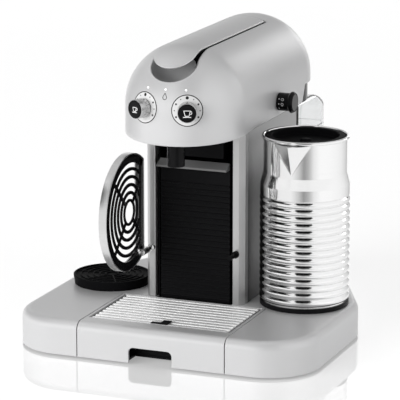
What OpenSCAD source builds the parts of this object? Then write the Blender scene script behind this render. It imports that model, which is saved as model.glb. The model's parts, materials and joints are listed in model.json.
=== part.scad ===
/* [Overall] */
// Width over the base
overall_w = 316.6; // [316:1:400]
// Depth from the drawer front to the rear edge of the base
overall_d = 379.2; // [370:1:470]
// Height from the resting surface to the crown of the head
overall_h = 309.3; // [300:1:380]

/* [Base] */
// Height of the base's top face above the resting surface
base_top = 37.9; // [36:0.5:46]
// Gap between the base and the resting surface
base_gap = 2.4; // [1.5:0.1:4]
// Plan radius of the two front corners
front_corner_r = 54.6; // [40:1:60]
// Plan radius where the parallel sides turn to the tapered rear
side_corner_r = 60; // [40:1:80]
// Plan radius of the two rear corners
rear_corner_r = 22; // [15:1:26]
// Distance from the front to the turn of the sides
side_turn_d = 176; // [165:1:185]
// Half of the width of the rear edge
rear_half_w = 60; // [58:1:70]
// Rounding of the base's top edge
base_edge_r = 9; // [5:1:12]
// Wall of the plastic base
base_wall = 2.5; // [2:0.1:3]
// Diameter of a rubber foot
foot_dia = 18; // [12:1:22]

/* [Drawer] */
// Half of the width of the drawer
drawer_half_w = 78.7; // [76:0.1:82]
// Width of the grip notch
notch_w = 46; // [36:1:60]
// Height of the grip notch above the drawer's lower edge
notch_h = 15.5; // [12:0.5:20]
// Corner radius of the grip notch
notch_r = 5; // [2:0.5:6]
// Distance from the front to the grid opening
grid_front_d = 23; // [18:1:30]
// Half of the width of the grid opening
grid_half_w = 75.4; // [70:0.1:75.4]
// Number of grid bars
grid_bars = 11; // [8:1:12]
// Width of one grid bar
grid_bar_w = 5; // [3:0.1:5.5]
// Wall of the drip tray
tray_wall = 1.8; // [1.5:0.1:2.5]

/* [Column] */
// Half of the width over the pillars
column_half_w = 53.5; // [52:0.5:57]
// Distance from the front to the pillars
pillar_d = 116.5; // [114:0.5:119]
// Width of a pillar's front face
pillar_face_w = 6.6; // [5:0.1:7.5]
// Width of a pillar
pillar_w = 11.2; // [10:0.1:11.5]
// Depth of a pillar
pillar_depth = 14; // [10:1:18]
// Distance from the front to the rear of the column
column_rear_d = 277.5; // [265:1:285]
// Wall of the column's panels
panel_wall = 1.8; // [1.5:0.1:2.5]

/* [Capsule container] */
// Half of the width of the container
container_half_w = 38; // [34:0.5:38.5]
// Depth of the container
container_depth = 88; // [80:1:92]
// Pitch of the ribs across the container's front
container_rib_pitch = 5.9; // [5:0.1:8]
// Wall of the container
container_wall = 1.8; // [1.5:0.1:2.5]

/* [Head] */
// Radius of the head's rounded top and of its two round ends
head_r = 62.4; // [60:0.2:64]
// Distance from the front to the centre of the front end
head_front_d = 100.7; // [98:0.5:104]
// Distance from the front to the centre of the rear end
head_rear_d = 280.5; // [275:1:290]
// Depth of the straight skirt below the rounded top at the flanks
head_skirt = 25.9; // [24:0.5:30]
// How much lower the skirt reaches at the front
head_front_drop = 6; // [2:0.5:8]
// Wall of the head
head_wall = 3; // [2.4:0.1:3.5]
// Diameter of the coffee outlet
outlet_dia = 17.6; // [14:0.2:22]
// Distance from the front to the coffee outlet
outlet_d = 69.4; // [67:0.2:71]
// How far the outlet hangs below the head's underside
outlet_drop = 30; // [24:0.5:34]

/* [Lever] */
// Half of the width of the lever
lever_half_w = 21.5; // [20.5:0.1:24]
// Thickness of the lever's cover
lever_skin = 3.5; // [3:0.1:4]
// Thickness of the lever's inner bar
lever_core = 3.5; // [3:0.1:4]
// Distance from the front to the lever's rear edge
lever_rear_d = 262; // [256:1:266]
// Distance from the front to the centre of the lever's round tip
lever_tip_d = 67.5; // [64:0.5:70]
// How far the lever's tip stands ahead of the head's round end
lever_reach = 10; // [6:0.5:11]
// Diameter of the hinge pin
lever_pin_dia = 4; // [3:0.1:5]
// Radius of the finger hollow under the tip
scoop_r = 25.5; // [24:0.5:27]

/* [Dials] */
// Angle of each dial from the middle of the front
dial_angle = 21.5; // [20:0.5:26]
// Height of the dials above the skirt's lower edge at the flanks
dial_rise = 30.4; // [27:0.2:33]
// Diameter of the scale ring around a dial
bezel_dia = 32; // [28:0.5:33]
// Diameter of a dial
dial_dia = 19; // [17:0.5:21]
// How far a dial stands out
dial_reach = 12; // [8:0.5:15]
// Diameter of the push button in a dial
button_dia = 17.4; // [14:0.1:17.6]
// Travel of a push button
button_travel = 1.5; // [1:0.1:2]
// Angle between the indicator lamps
lamp_angle = 20.4; // [18:0.2:24]
// Height of the lamps above the skirt's lower edge at the flanks
lamp_rise = 50; // [47:0.5:53]
// Diameter of an indicator lamp
lamp_dia = 2.6; // [2:0.1:3.5]

/* [Milk knob] */
// Distance from the front to the knob's axis
knob_d = 194.5; // [186:0.5:200]
// Height of the knob's axis above the skirt's lower edge
knob_rise = 14.6; // [13:0.2:16]
// Diameter of the knob's body
knob_dia = 18.6; // [16:0.2:20]
// Diameter of the knob's rim
knob_rim_dia = 22; // [20:0.2:24]
// How far the knob stands out from the head
knob_len = 17.6; // [14:0.2:20]

/* [Cup support] */
// Radius of the round support
support_r = 60; // [56:0.5:60]
// Thickness of the support
support_t = 8.4; // [7:0.2:10]
// Height of the rest pin's axis
rest_pin_z = 91.3; // [80:0.5:100]
// Diameter of the hinge pin and of the rest pin
support_pin_dia = 4.6; // [4:0.1:5]
// Height of the folded-up support's centre above its hinge
support_rise = 46.5; // [46:0.1:47]
// Distance from the support's centre to its straight rear edge
support_chord = 36; // [35:0.5:37]
// Radius of the support's middle hole
support_hole_r = 10.8; // [8:0.2:11]
// Width of the curved slots in the support
support_slot = 4.5; // [3:0.1:5]
// Pitch of the curved slots
support_slot_pitch = 8; // [7:0.1:8]

/* [Milk jug] */
// Radius over the jug's ribs
jug_r = 45.9; // [43:0.1:46]
// How much narrower the jug's neck is than its ribs, on the radius
jug_neck_step = 3.5; // [3.3:0.1:4.4]
// Height of the jug from the base to its rim
jug_h = 175.5; // [165:0.5:185]
// Height of the ribbed part
jug_ribbed_h = 108; // [90:1:112]
// Number of ribs
jug_ribs = 15; // [10:1:16]
// Wall of the jug
jug_wall = 1.6; // [1.2:0.1:1.8]
// Gap from the jug's ribs to the side of the base
jug_edge = 5.9; // [4:0.1:8]
// Distance from the front to the jug's axis and the cup warmer's axis
side_axis_d = 152.7; // [148:0.5:158]

/* [Cup warmer] */
// Radius of the cup warmer
warmer_r = 40.5; // [34:0.5:42]
// Height of the cup warmer
warmer_h = 10; // [7:0.5:12]
// Gap from the cup warmer to the side of the base
warmer_edge = 10.8; // [8:0.1:14]

/* [Water tank] */
// Half of the width of the tank
tank_half_w = 52; // [46:0.5:53]
// Height of the tank's rim where the lid sits
tank_rim_z = 180; // [160:1:185]
// Height of the top of the tank's lid
tank_top_z = 215.5; // [205:0.5:217]
// Radius of the lid's rounded shoulder
tank_shoulder_r = 34; // [25:1:35]
// Wall of the tank
tank_wall = 2.6; // [2:0.1:3.5]
// Plan radius of the tank's rear corners
tank_corner_r = 15; // [10:1:20]

/* [Clearances] */
// Gap between parts that move past each other
gap = 0.4; // [0.3:0.05:0.5]
// Gap that shows as the dark seam round the lever
seam = 0.9; // [0.6:0.1:1.2]
// Radial clearance of a pin in its bore
pin_fit = 0.05; // [0.02:0.01:0.1]

/* [Hidden] */
$fn = 96;
// Overshoot of a cut beyond the face that it opens
cut = 1;
front_y = -overall_d / 2;
rear_y = overall_d / 2;
half_w = overall_w / 2;

// ---- Shared places, worked out from the driving sizes ----
shell_low = base_gap;
plate_t = 2.4;
plate_top = shell_low + plate_t;
under_top = base_top - base_wall;

head_axis_z = overall_h - head_r;
skirt_z = head_axis_z - head_skirt;
deck_z = skirt_z;
deck_t = 2;
deck_low = deck_z - deck_t;
head_front_y = front_y + head_front_d;
head_rear_y = front_y + head_rear_d;
outlet_y = front_y + outlet_d;
outlet_low = deck_low - outlet_drop;

pillar_y = front_y + pillar_d;
column_rear_y = front_y + column_rear_d;
pillar_in = column_half_w - pillar_w;
pillar_back_y = pillar_y + pillar_depth;

drawer_back_y = pillar_y - 0.6;
grid_front_y = front_y + grid_front_d;
grid_back_y = drawer_back_y - 1.6;
grid_len = grid_back_y - grid_front_y;
grid_pitch = (grid_len - 2 * gap - grid_bar_w) / (grid_bars - 1);
grid_t = 3;
tray_low = plate_top + gap;
cheek_t = 2;
tray_half_w = drawer_half_w - cheek_t;

container_front_y = pillar_y + 4;
container_back_y = container_front_y + container_depth;
container_low = base_top + gap;
container_top = outlet_low - 10;
lip_reach = 11.5;
lip_drop = 5;
liner_t = 1.5;
liner_half_w = container_half_w + 1.6;
liner_back_y = container_back_y + 1.6;
brew_low = container_top + lip_drop + 3;
brew_top = head_axis_z + 15;
brew_half_w = 30;
brew_front_y = pillar_y + 6;
brew_back_y = liner_back_y - 2;
chute_half_w = 19.5;
chute_len = 33;
chute_front_y = brew_front_y + 13;
chute_mid_y = chute_front_y + chute_len / 2;
piston_r = 14;
piston_z = deck_z + piston_r + 1;
piston_stroke = 18;

lever_rear_y = front_y + lever_rear_d;
lever_tip_y = front_y + lever_tip_d;
lever_front_y = head_front_y - lever_reach;
lever_t = lever_skin + lever_core;
// The bar ends short of the cover's tip, which leaves room for a finger
bar_setback = 17;
pocket_depth = lever_t + 2;
pocket_wall = 2.5;
hinge_back = 10.5;
hinge_sink = 8.8;
hinge_y = lever_rear_y - hinge_back;
hinge_z = overall_h - hinge_sink;
hinge_sweep_r = norm([hinge_back, hinge_sink]) + 0.5;
barrel_r = 4.5;
scoop_y = lever_tip_y - 1.5;
scoop_z = head_axis_z + 45.6;

dial_z = skirt_z + dial_rise;
lamp_z = skirt_z + lamp_rise;
// Depth of the seats of the scale rings, and how far the rings stand out of the head
bezel_t = 1.6;
ring_rise = 0.3;
shaft_r = 5.6;
stem_r = 3.7;
encoder_t = 6.5;
encoder_r = 9;
board_t = 1.6;
encoder_face_r = head_r - 9;
board_face_r = encoder_face_r - encoder_t;
board_top = scoop_z - scoop_r - pocket_wall - 1;

knob_y = front_y + knob_d;
knob_z = skirt_z + knob_rise;
knob_shaft_r = 3;

support_pin_r = support_pin_dia / 2;
pin_x = column_half_w - pillar_w / 2 - 1.9;
support_hinge_z = rest_pin_z - 0.7;
lug_r = support_pin_r + 1;
support_near_x = -pin_x - lug_r;
support_far_x = support_near_x - support_t;
support_y = outlet_y - 0.8;
support_z = support_hinge_z + support_rise;
chord_y = support_y + support_chord;
rim_t = 1.3;
grid_plate_t = support_t - 1.6;
slot_first_r = support_hole_r + 3;
slot_count = 5;
spoke_w = 4;
chord_band = 10.6;
rest_pin_len = 18;
hinge_pin_len = 30;
collar_r = 3.6;
collar_t = 4;

jug_x = half_w - jug_edge - jug_r;
side_axis_y = front_y + side_axis_d;
warmer_x = -(half_w - warmer_edge - warmer_r);
jug_low = base_top + gap;
jug_rim_z = base_top + jug_h;
foot_ring_h = 4.6;
jug_floor_z = jug_low + foot_ring_h + 2;
rib_low_z = jug_low + foot_ring_h + 1.6;
rib_pitch = jug_ribbed_h / jug_ribs;
rib_top_z = rib_low_z + jug_ribbed_h;
rib_r = 4;
rib_valley_r = jug_r - 1.7;
jug_band_h = 11.4;
lip_r = 1.7;
jug_neck_r = jug_r - jug_neck_step;
lid_r = jug_neck_r - jug_wall - gap;

tank_front_y = column_rear_y + 3;
tank_rear_y = rear_y - 2;
tank_low = base_top + gap;
dock_z = tank_low + 20;
dock_r = 5;
tank_lid_low = tank_rim_z + gap;

// ---- Shared shapes ----
function unit(v) = v / norm(v);
// Half of the inner angle at a corner of an outline
function half_angle(p, i) = let (n = len(p), a = unit(p[(i + n - 1) % n] - p[i]), b = unit(p[(i + 1) % n] - p[i]))
    acos(a * b) / 2;
// The two points where a round of radius r leaves the straight edges at a corner
function round_ends(p, r, i) = let (n = len(p), t = r / tan(half_angle(p, i)))
    [p[i] + t * unit(p[(i + n - 1) % n] - p[i]), p[i] + t * unit(p[(i + 1) % n] - p[i])];
// The centre of the round at a corner
function round_centre(p, r, i) = let (n = len(p), a = unit(p[(i + n - 1) % n] - p[i]),
    b = unit(p[(i + 1) % n] - p[i])) p[i] + unit(a + b) * r / sin(half_angle(p, i));

// A convex outline with its own radius at each corner
module rounded_outline(p, r) {
    polygon([for (i = [0 : len(p) - 1]) each round_ends(p, r[i], i)]);
    for (i = [0 : len(p) - 1])
        translate(round_centre(p, r[i], i)) circle(r[i]);
}

// Corners of the base's plan, drawn in from its outer edge by some inset, in counter-clockwise order
function base_corners(inset) = let (turn_y = front_y + side_turn_d,
    taper = unit([rear_half_w - half_w, rear_y - turn_y]),
    turn_in = turn_y + inset * (1 - taper[1]) / taper[0],
    rear_in = rear_half_w - inset * (1 + taper[0]) / taper[1])
    [[-half_w + inset, front_y + inset], [half_w - inset, front_y + inset], [half_w - inset, turn_in],
    [rear_in, rear_y - inset], [-rear_in, rear_y - inset], [-half_w + inset, turn_in]];
function base_radii(inset) = [for (r = [front_corner_r, front_corner_r, side_corner_r,
    rear_corner_r, rear_corner_r, side_corner_r]) r - inset];

module base_plan(inset) {
    rounded_outline(base_corners(inset), base_radii(inset));
}

// The base as a solid block whose top edge is rounded
module base_block(inset, low, high, edge_r) {
    slice = 0.02;
    hull() {
        translate([0, 0, low]) linear_extrude(high - edge_r - low) base_plan(inset, $fn = 48);
        for (a = [15 : 15 : 90]) translate([0, 0, high - edge_r * (1 - sin(a)) - slice])
            linear_extrude(slice) base_plan(inset + edge_r * (1 - cos(a)), $fn = 48);
    }
}

// A long body with a half-round top, round ends and a straight skirt
module domed_body(r, y_front, y_rear, low) {
    translate([0, y_front, head_axis_z]) rotate([0, 0, 180]) rotate_extrude(angle = 180)
        domed_half(r, low);
    translate([0, y_rear, head_axis_z]) rotate_extrude(angle = 180) domed_half(r, low);
    translate([0, y_rear, head_axis_z]) rotate([90, 0, 0]) linear_extrude(y_rear - y_front) {
        domed_half(r, low);
        mirror([1, 0]) domed_half(r, low);
    }
}

module domed_half(r, low) {
    intersection() {
        circle(r);
        square(r);
    }
    translate([0, low - head_axis_z]) square([r, head_axis_z - low]);
}

// Plan of a bar with one round end, which points to the front
module tongue(half_width, tip_y, back_y) {
    translate([0, tip_y]) circle(half_width);
    translate([-half_width, tip_y]) square([2 * half_width, back_y - tip_y]);
}

module tube(r_out, r_in, h) {
    difference() {
        cylinder(r = r_out, h = h);
        translate([0, 0, -cut]) cylinder(r = r_in, h = h + 2 * cut);
    }
}

// A box given by its lowest and highest corners
module block(low, high) {
    translate(low) cube(high - low);
}

// A pair of boxes, one on each side of the middle
module block_pair(low, high) {
    block(low, high);
    mirror([1, 0, 0]) block(low, high);
}

// Puts a shape on a dial's axis, with +Z pointing out of the head and z = 0 on the head's centre line
module on_dial_axis(side, z) {
    translate([0, head_front_y, z]) rotate([0, 0, side * dial_angle]) rotate([90, 0, 0]) children();
}

// A rod that points to the front from a given face
module rod_forward(x, y, z, r, len) {
    translate([x, y, z]) rotate([90, 0, 0]) cylinder(r = r, h = len);
}

// ---- Base ----
module base_shell() {
    bay_x = drawer_half_w + gap;
    color("silver") difference() {
        union() {
            difference() {
                base_block(0, shell_low, base_top, base_edge_r);
                base_block(base_wall, shell_low - cut, under_top, base_edge_r - base_wall);
            }
            // Walls beside the drawer and across its back, which end inside the shell's own wall
            for (x = [-bay_x - base_wall, bay_x]) translate([x, 0, 0]) rotate([90, 0, 90])
                linear_extrude(base_wall) wall_side();
            block_pair([liner_half_w + liner_t, drawer_back_y + gap, plate_top],
                [bay_x + base_wall, drawer_back_y + gap + base_wall, under_top + base_wall / 2]);
            block_pair([liner_half_w + liner_t, drawer_back_y + gap, plate_top],
                [liner_half_w + liner_t + base_wall, liner_back_y + liner_t, under_top + base_wall / 2]);
        }
        block([-bay_x, front_y - cut, -cut], [bay_x, drawer_back_y + gap, base_top + cut]);
        block([-liner_half_w - liner_t, drawer_back_y, under_top - cut],
            [liner_half_w + liner_t, liner_back_y + liner_t, base_top + cut]);
        inlet_block(0);
    }
}

// Side of the wall beside the drawer, whose front follows the middle of the shell's rounded wall
module wall_side() {
    r = base_edge_r - base_wall / 2;
    centre = [front_y + base_edge_r, base_top - base_edge_r];
    polygon(concat([[drawer_back_y + gap, plate_top], [centre[0] - r, plate_top]],
        [for (a = [180 : -22.5 : 90]) centre + r * [cos(a), sin(a)]],
        [[drawer_back_y + gap, base_top - base_wall / 2]]));
}

module base_plate() {
    color("dimgray") difference() {
        hull() translate([0, 0, shell_low]) linear_extrude(plate_t) base_plan(base_wall + gap, $fn = 48);
        foot_places() translate([0, 0, -cut]) cylinder(d = foot_dia - 6, h = plate_top + 2 * cut);
        // Finger room behind the grip notch
        block([-notch_w / 2 - 2, front_y - cut, 0], [notch_w / 2 + 2, grid_front_y, plate_top + cut]);
    }
}

// Five feet: two at the front corners, two at the sides and one under the rear
module foot_places() {
    foot_x = half_w - front_corner_r + 14;
    foot_y = front_y + front_corner_r - 14;
    for (x = [-foot_x, foot_x]) translate([x, foot_y, 0]) children();
    for (x = [-half_w + 34, half_w - 34]) translate([x, front_y + side_turn_d - 6, 0]) children();
    translate([0, rear_y - 30, 0]) children();
}

module rubber_feet() {
    color("black") foot_places() {
        cylinder(d = foot_dia, h = shell_low);
        cylinder(d = foot_dia - 6, h = plate_top);
    }
}

module screw_places() {
    turn_y = front_y + side_turn_d;
    for (x = [-half_w + 20, half_w - 20]) translate([x, front_y + 95, 0]) children();
    // Those behind stand a fixed share of the way along the sides that run in to the rear
    for (x = [-rear_half_w - 20, rear_half_w + 20]) translate([x, turn_y + 0.547 * (rear_y - turn_y), 0]) children();
}

module base_screws() {
    color("gray") screw_places() {
        translate([0, 0, shell_low - 1.2]) cylinder(r = 3.4, h = 1.2);
        translate([0, 0, plate_top]) cylinder(r = 4.5, h = under_top - plate_top);
    }
}

// The appliance inlet in the base's rear wall
module inlet_block(play) {
    block([-15 - play, rear_y - 22, 9 - play], [15 + play, rear_y + cut, 31 + play]);
}

module power_inlet() {
    color("black") {
        difference() {
            block([-15, rear_y - 22, 9], [15, rear_y - 0.2, 31]);
            block([-12, rear_y - 17, 12], [12, rear_y + cut, 28]);
        }
        block([-15, rear_y - 22, plate_top], [15, rear_y - 16, 9]);
    }
    color("gold") for (x = [-6, 0, 6])
        block([x - 0.8, rear_y - 18, 18], [x + 0.8, rear_y - 6, 22]);
}

// ---- Column ----
module right_half_pillar() {
    bevel = pillar_w - pillar_face_w;
    translate([0, 0, base_top]) linear_extrude(deck_low - base_top) difference() {
        polygon([[pillar_in, pillar_y], [column_half_w - bevel, pillar_y],
            [column_half_w, pillar_y + bevel * 1.4], [column_half_w, pillar_back_y],
            [pillar_in, pillar_back_y]]);
        translate([pillar_in + 2, pillar_y + 2 + bevel]) square([pillar_w - 4, pillar_depth - 4 - bevel]);
    }
}

module left_pillar() { color("lightgray") mirror([1, 0, 0]) right_half_pillar(); }
module right_pillar() { color("lightgray") right_half_pillar(); }

module right_half_panel() {
    corner = 6;
    y_end = column_rear_y - corner;
    block([column_half_w - panel_wall, pillar_back_y, base_top], [column_half_w, y_end, deck_low]);
    translate([column_half_w - corner, y_end, base_top]) rotate_extrude(angle = 90)
        translate([corner - panel_wall, 0]) square([panel_wall, deck_low - base_top]);
    block([column_half_w - corner - 4, column_rear_y - panel_wall, base_top],
        [column_half_w - corner, column_rear_y, deck_low]);
}

module left_side_panel() { color("darkgray") mirror([1, 0, 0]) right_half_panel(); }
module right_side_panel() { color("darkgray") right_half_panel(); }

module rear_panel() {
    edge = column_half_w - 6 - 4;
    color([0.12, 0.12, 0.13]) difference() {
        block([-edge, column_rear_y - panel_wall - 0.6, base_top], [edge, column_rear_y - 0.6, deck_low]);
        translate([0, column_rear_y, dock_z]) rotate([90, 0, 0]) translate([0, 0, -cut])
            cylinder(r = dock_r, h = panel_wall + 0.6 + 2 * cut);
    }
}

module bay_liner() {
    color([0.08, 0.08, 0.09]) {
        block_pair([liner_half_w, pillar_back_y - 9, plate_top], [liner_half_w + liner_t, liner_back_y, brew_low]);
        block([-liner_half_w - liner_t, liner_back_y, plate_top],
            [liner_half_w + liner_t, liner_back_y + liner_t, brew_low]);
        // Rear of the bay's ceiling, which the brew unit stands on
        block([-liner_half_w, chute_mid_y + chute_len / 2 + 6, brew_low - liner_t],
            [liner_half_w, liner_back_y, brew_low]);
    }
}

// ---- Head ----
module lever_pocket(play) {
    intersection() {
        difference() {
            translate([0, 0, head_axis_z]) linear_extrude(head_r + cut + 12)
                tongue(lever_half_w + seam + play, lever_tip_y, lever_rear_y - 4);
            domed_body(head_r - pocket_depth - play, head_front_y, head_rear_y, head_axis_z - cut);
        }
        block([-head_r, lever_tip_y - 3, head_axis_z], [head_r, lever_rear_y, overall_h + 12]);
    }
}

module hinge_well(play) {
    translate([-lever_half_w - seam - play, hinge_y, hinge_z]) rotate([0, 90, 0])
        cylinder(r = hinge_sweep_r + play, h = 2 * (lever_half_w + seam + play));
}

module head_shell() {
    color("silver") difference() {
        union() {
            difference() {
                domed_body(head_r, head_front_y, head_rear_y, skirt_z - head_front_drop - cut);
                domed_body(head_r - head_wall, head_front_y, head_rear_y, skirt_z - head_front_drop - 2 * cut);
            }
            intersection() {
                union() {
                    lever_pocket(pocket_wall);
                    hinge_well(pocket_wall);
                    translate([0, scoop_y, scoop_z]) sphere(r = scoop_r + pocket_wall);
                }
                domed_body(head_r - head_wall / 2, head_front_y, head_rear_y, head_axis_z - 5);
            }
        }
        lever_pocket(0);
        hinge_well(0);
        translate([0, scoop_y, scoop_z]) sphere(r = scoop_r);
        skirt_trim();
        // Slot for the capsule in the pocket's floor
        block([-chute_half_w, chute_front_y, head_axis_z], [chute_half_w, chute_front_y + chute_len, overall_h]);
        for (side = [-1, 1]) {
            ring_seat(side);
            on_dial_axis(side, dial_z) translate([0, 0, head_r - 12]) cylinder(r = shaft_r + 1, h = 20);
        }
        lamp_places() cylinder(d = lamp_dia, h = 12, center = true);
        translate([head_r, knob_y, knob_z]) rotate([0, 90, 0])
            cylinder(r = knob_shaft_r + gap, h = 4 * head_wall, center = true);
        translate([0, hinge_y, hinge_z]) rotate([0, 90, 0])
            cylinder(d = lever_pin_dia, h = 2 * (lever_half_w + seam + pocket_wall), center = true);
    }
}

// Cuts the skirt's lower edge: lower at the front, and higher round the rear end
module skirt_trim() {
    low = skirt_z - head_front_drop;
    step_y = head_rear_y - 14;
    rotate([90, 0, 90]) translate([0, 0, -head_r - cut]) linear_extrude(2 * (head_r + cut))
        polygon([[head_front_y - head_r - cut, low - 3 * cut], [head_front_y - head_r - cut, low],
            [head_front_y + 22, skirt_z], [step_y, skirt_z], [step_y + 8, skirt_z + 18],
            [head_rear_y + head_r + cut, skirt_z + 18], [head_rear_y + head_r + cut, low - 3 * cut]]);
}

module lamp_places() {
    lamp_r = sqrt(head_r * head_r - pow(lamp_z - head_axis_z, 2));
    for (a = [-lamp_angle, 0, lamp_angle])
        translate([0, head_front_y, head_axis_z]) rotate([0, 0, a])
            translate([0, -lamp_r, lamp_z - head_axis_z])
                rotate([90 - asin((lamp_z - head_axis_z) / head_r), 0, 0]) children();
}

module deck_plan(r) {
    for (y = [head_front_y, head_rear_y]) translate([0, y]) circle(r);
    translate([-r, head_front_y]) square([2 * r, head_rear_y - head_front_y]);
}

module head_underside() {
    r = head_r - head_wall;
    collar_top = skirt_z + 18.5;
    color([0.1, 0.1, 0.11]) difference() {
        union() {
            translate([0, 0, deck_low]) linear_extrude(deck_t) deck_plan(r);
            intersection() {
                translate([0, 0, deck_low]) linear_extrude(collar_top - deck_low) difference() {
                    deck_plan(r);
                    deck_plan(r - 2);
                }
                block([-head_r, head_rear_y - 14, deck_low], [head_r, head_rear_y + head_r, collar_top]);
            }
        }
        block([-brew_half_w - 1, brew_front_y - 1, deck_low - cut], [brew_half_w + 1, brew_back_y + 1, deck_z + cut]);
        translate([0, outlet_y, deck_low - cut]) cylinder(d = outlet_dia, h = deck_t + 2 * cut);
        board_plates();
    }
}

module coffee_outlet() {
    channel_z = deck_z + 6;
    color([0.07, 0.07, 0.08]) difference() {
        union() {
            translate([0, outlet_y, outlet_low]) cylinder(d = outlet_dia, h = channel_z + 10 - outlet_low);
            translate([0, outlet_y, deck_z]) cylinder(d = outlet_dia + 8, h = 3);
            translate([0, brew_front_y, channel_z]) rotate([90, 0, 0])
                cylinder(r = 5, h = brew_front_y - outlet_y);
        }
        translate([0, outlet_y, outlet_low - cut]) cylinder(r = 4, h = channel_z - outlet_low + cut);
        translate([0, brew_front_y + cut, channel_z]) rotate([90, 0, 0])
            cylinder(r = 2.5, h = brew_front_y - outlet_y + cut);
    }
}

// ---- Inside the head and column ----
module brew_unit() {
    color("dimgray") difference() {
        block([-brew_half_w, brew_front_y, brew_low], [brew_half_w, brew_back_y, brew_top]);
        // Way of the capsule from the slot down into the container
        block([-chute_half_w, chute_front_y, brew_low - cut], [chute_half_w, chute_front_y + chute_len, brew_top + cut]);
        // Cylinder that the piston runs in
        translate([0, chute_mid_y, piston_z]) rotate([-90, 0, 0])
            cylinder(r = piston_r + pin_fit, h = brew_back_y - chute_mid_y + cut);
    }
}

module brew_piston() {
    front = chute_front_y + 12;
    color("gray") {
        translate([0, front, piston_z]) rotate([-90, 0, 0]) cylinder(r = piston_r, h = brew_back_y - 6 - front);
        translate([0, front, piston_z]) rotate([-90, 0, 0]) cylinder(r = 5, h = brew_back_y + 6 - front);
    }
}

module capsule_chute() {
    wall = 1.5;
    floor_z = head_axis_z + sqrt(pow(head_r - pocket_depth - pocket_wall, 2) - pow(chute_half_w + wall, 2)) - 1;
    color([0.1, 0.1, 0.11]) difference() {
        block([-chute_half_w - wall, chute_front_y - wall, brew_top],
            [chute_half_w + wall, chute_front_y + chute_len + wall, floor_z]);
        block([-chute_half_w, chute_front_y, brew_top - cut],
            [chute_half_w, chute_front_y + chute_len, floor_z + cut]);
    }
}

pump_x = -26;
boiler_x = 26;
machine_y = (liner_back_y + liner_t + column_rear_y) / 2;
pump_r = 17;
boiler_r = 19;
pump_low = base_top + 8;
pump_h = 74;
boiler_h = 96;
boiler_leg = 14;

module pump_mount() {
    color([0.15, 0.15, 0.15]) translate([pump_x, machine_y, base_top]) tube(pump_r + 2, 8, pump_low - base_top);
}

module pump() {
    color("lightsteelblue") translate([pump_x, machine_y, pump_low]) {
        cylinder(r = pump_r, h = pump_h * 0.6);
        translate([0, 0, pump_h * 0.6]) cylinder(r = 9, h = pump_h * 0.4);
    }
}

module thermoblock() {
    color("darkgray") translate([boiler_x, machine_y, base_top]) {
        for (a = [45 : 90 : 315]) rotate([0, 0, a]) translate([boiler_r - 5, 0, 0]) cylinder(r = 2.5, h = boiler_leg);
        translate([0, 0, boiler_leg]) cylinder(r = boiler_r, h = boiler_h);
    }
}

// Water's way: dock to pump, pump to thermoblock, thermoblock to brew unit
module water_hoses() {
    r = 3;
    loop_z = brew_low + 6;
    boiler_top = base_top + boiler_leg + boiler_h;
    dock_in_y = column_rear_y - panel_wall - 0.6;
    color("white") {
        rod_forward(0, dock_in_y, dock_z, r, dock_in_y - machine_y);
        difference() {
            translate([pump_x, machine_y, dock_z]) rotate([0, 90, 0]) cylinder(r = r, h = -pump_x);
            translate([pump_x, machine_y, pump_low]) cylinder(r = pump_r, h = pump_h);
        }
        translate([pump_x, machine_y, pump_low + pump_h]) cylinder(r = r, h = loop_z - pump_low - pump_h);
        translate([pump_x, machine_y, loop_z]) rotate([0, 90, 0]) cylinder(r = r, h = boiler_x - pump_x);
        translate([boiler_x, machine_y, boiler_top]) cylinder(r = r, h = loop_z - boiler_top);
        rod_forward(0, machine_y, loop_z, r, machine_y - brew_back_y);
        // Push-in fittings where the hoses turn
        for (p = [[0, dock_z], [pump_x, loop_z], [0, loop_z], [boiler_x, loop_z]])
            translate([p[0], machine_y, p[1]]) cube(2 * r + 3, center = true);
    }
}

module power_board() {
    x = column_half_w - panel_wall;
    color("darkgreen") {
        block([x - 6, pillar_back_y + 12, base_top], [x - 4.4, liner_back_y - 6, base_top + 96]);
        for (z = [16, 46, 74])
            block([x - 4.4, pillar_back_y + 20, base_top + z], [x, pillar_back_y + 36, base_top + z + 14]);
    }
}

module board_plates() {
    half = board_face_r * tan(dial_angle);
    for (side = [-1, 1]) translate([0, head_front_y, deck_low]) rotate([0, 0, side * dial_angle])
        block([-half, -board_face_r, 0], [half, -board_face_r + board_t, board_top - deck_low]);
}

module control_board() {
    color("darkgreen") difference() {
        board_plates();
        for (side = [-1, 1]) on_dial_axis(side, dial_z)
            translate([0, 0, board_face_r - board_t - cut]) cylinder(r = stem_r + 0.3, h = board_t + 2 * cut);
    }
}

module dial_encoders() {
    color("dimgray") for (side = [-1, 1]) on_dial_axis(side, dial_z)
        translate([0, 0, board_face_r]) tube(encoder_r, stem_r + 0.3, encoder_t);
}

// ---- Controls on the head ----
// The seat that a scale ring lies in: a round recess whose floor follows the head
module ring_seat(side) {
    difference() {
        on_dial_axis(side, dial_z) translate([0, 0, head_r - 12]) cylinder(d = bezel_dia, h = 20);
        domed_body(head_r - bezel_t, head_front_y, head_rear_y, skirt_z);
    }
}

module scale_ring(side) {
    difference() {
        intersection() {
            domed_body(head_r + ring_rise, head_front_y, head_rear_y, skirt_z);
            ring_seat(side);
        }
        on_dial_axis(side, dial_z) cylinder(r = shaft_r + 1, h = head_r + 20);
    }
}

module left_scale_ring() { color("white") scale_ring(-1); }
module right_scale_ring() { color("white") scale_ring(1); }

module dial(side) {
    recess = button_travel + 1.6;
    on_dial_axis(side, dial_z) difference() {
        union() {
            translate([0, 0, head_r + 0.8]) cylinder(d = dial_dia, h = dial_reach);
            translate([0, 0, encoder_face_r + gap]) cylinder(r = shaft_r, h = head_r + 1 - encoder_face_r - gap);
        }
        translate([0, 0, encoder_face_r]) cylinder(r = stem_r + gap, h = dial_reach + 20);
        translate([0, 0, head_r + 0.8 + dial_reach - recess - gap])
            cylinder(d = button_dia + 0.6, h = recess + 2 * gap);
    }
}

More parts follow.
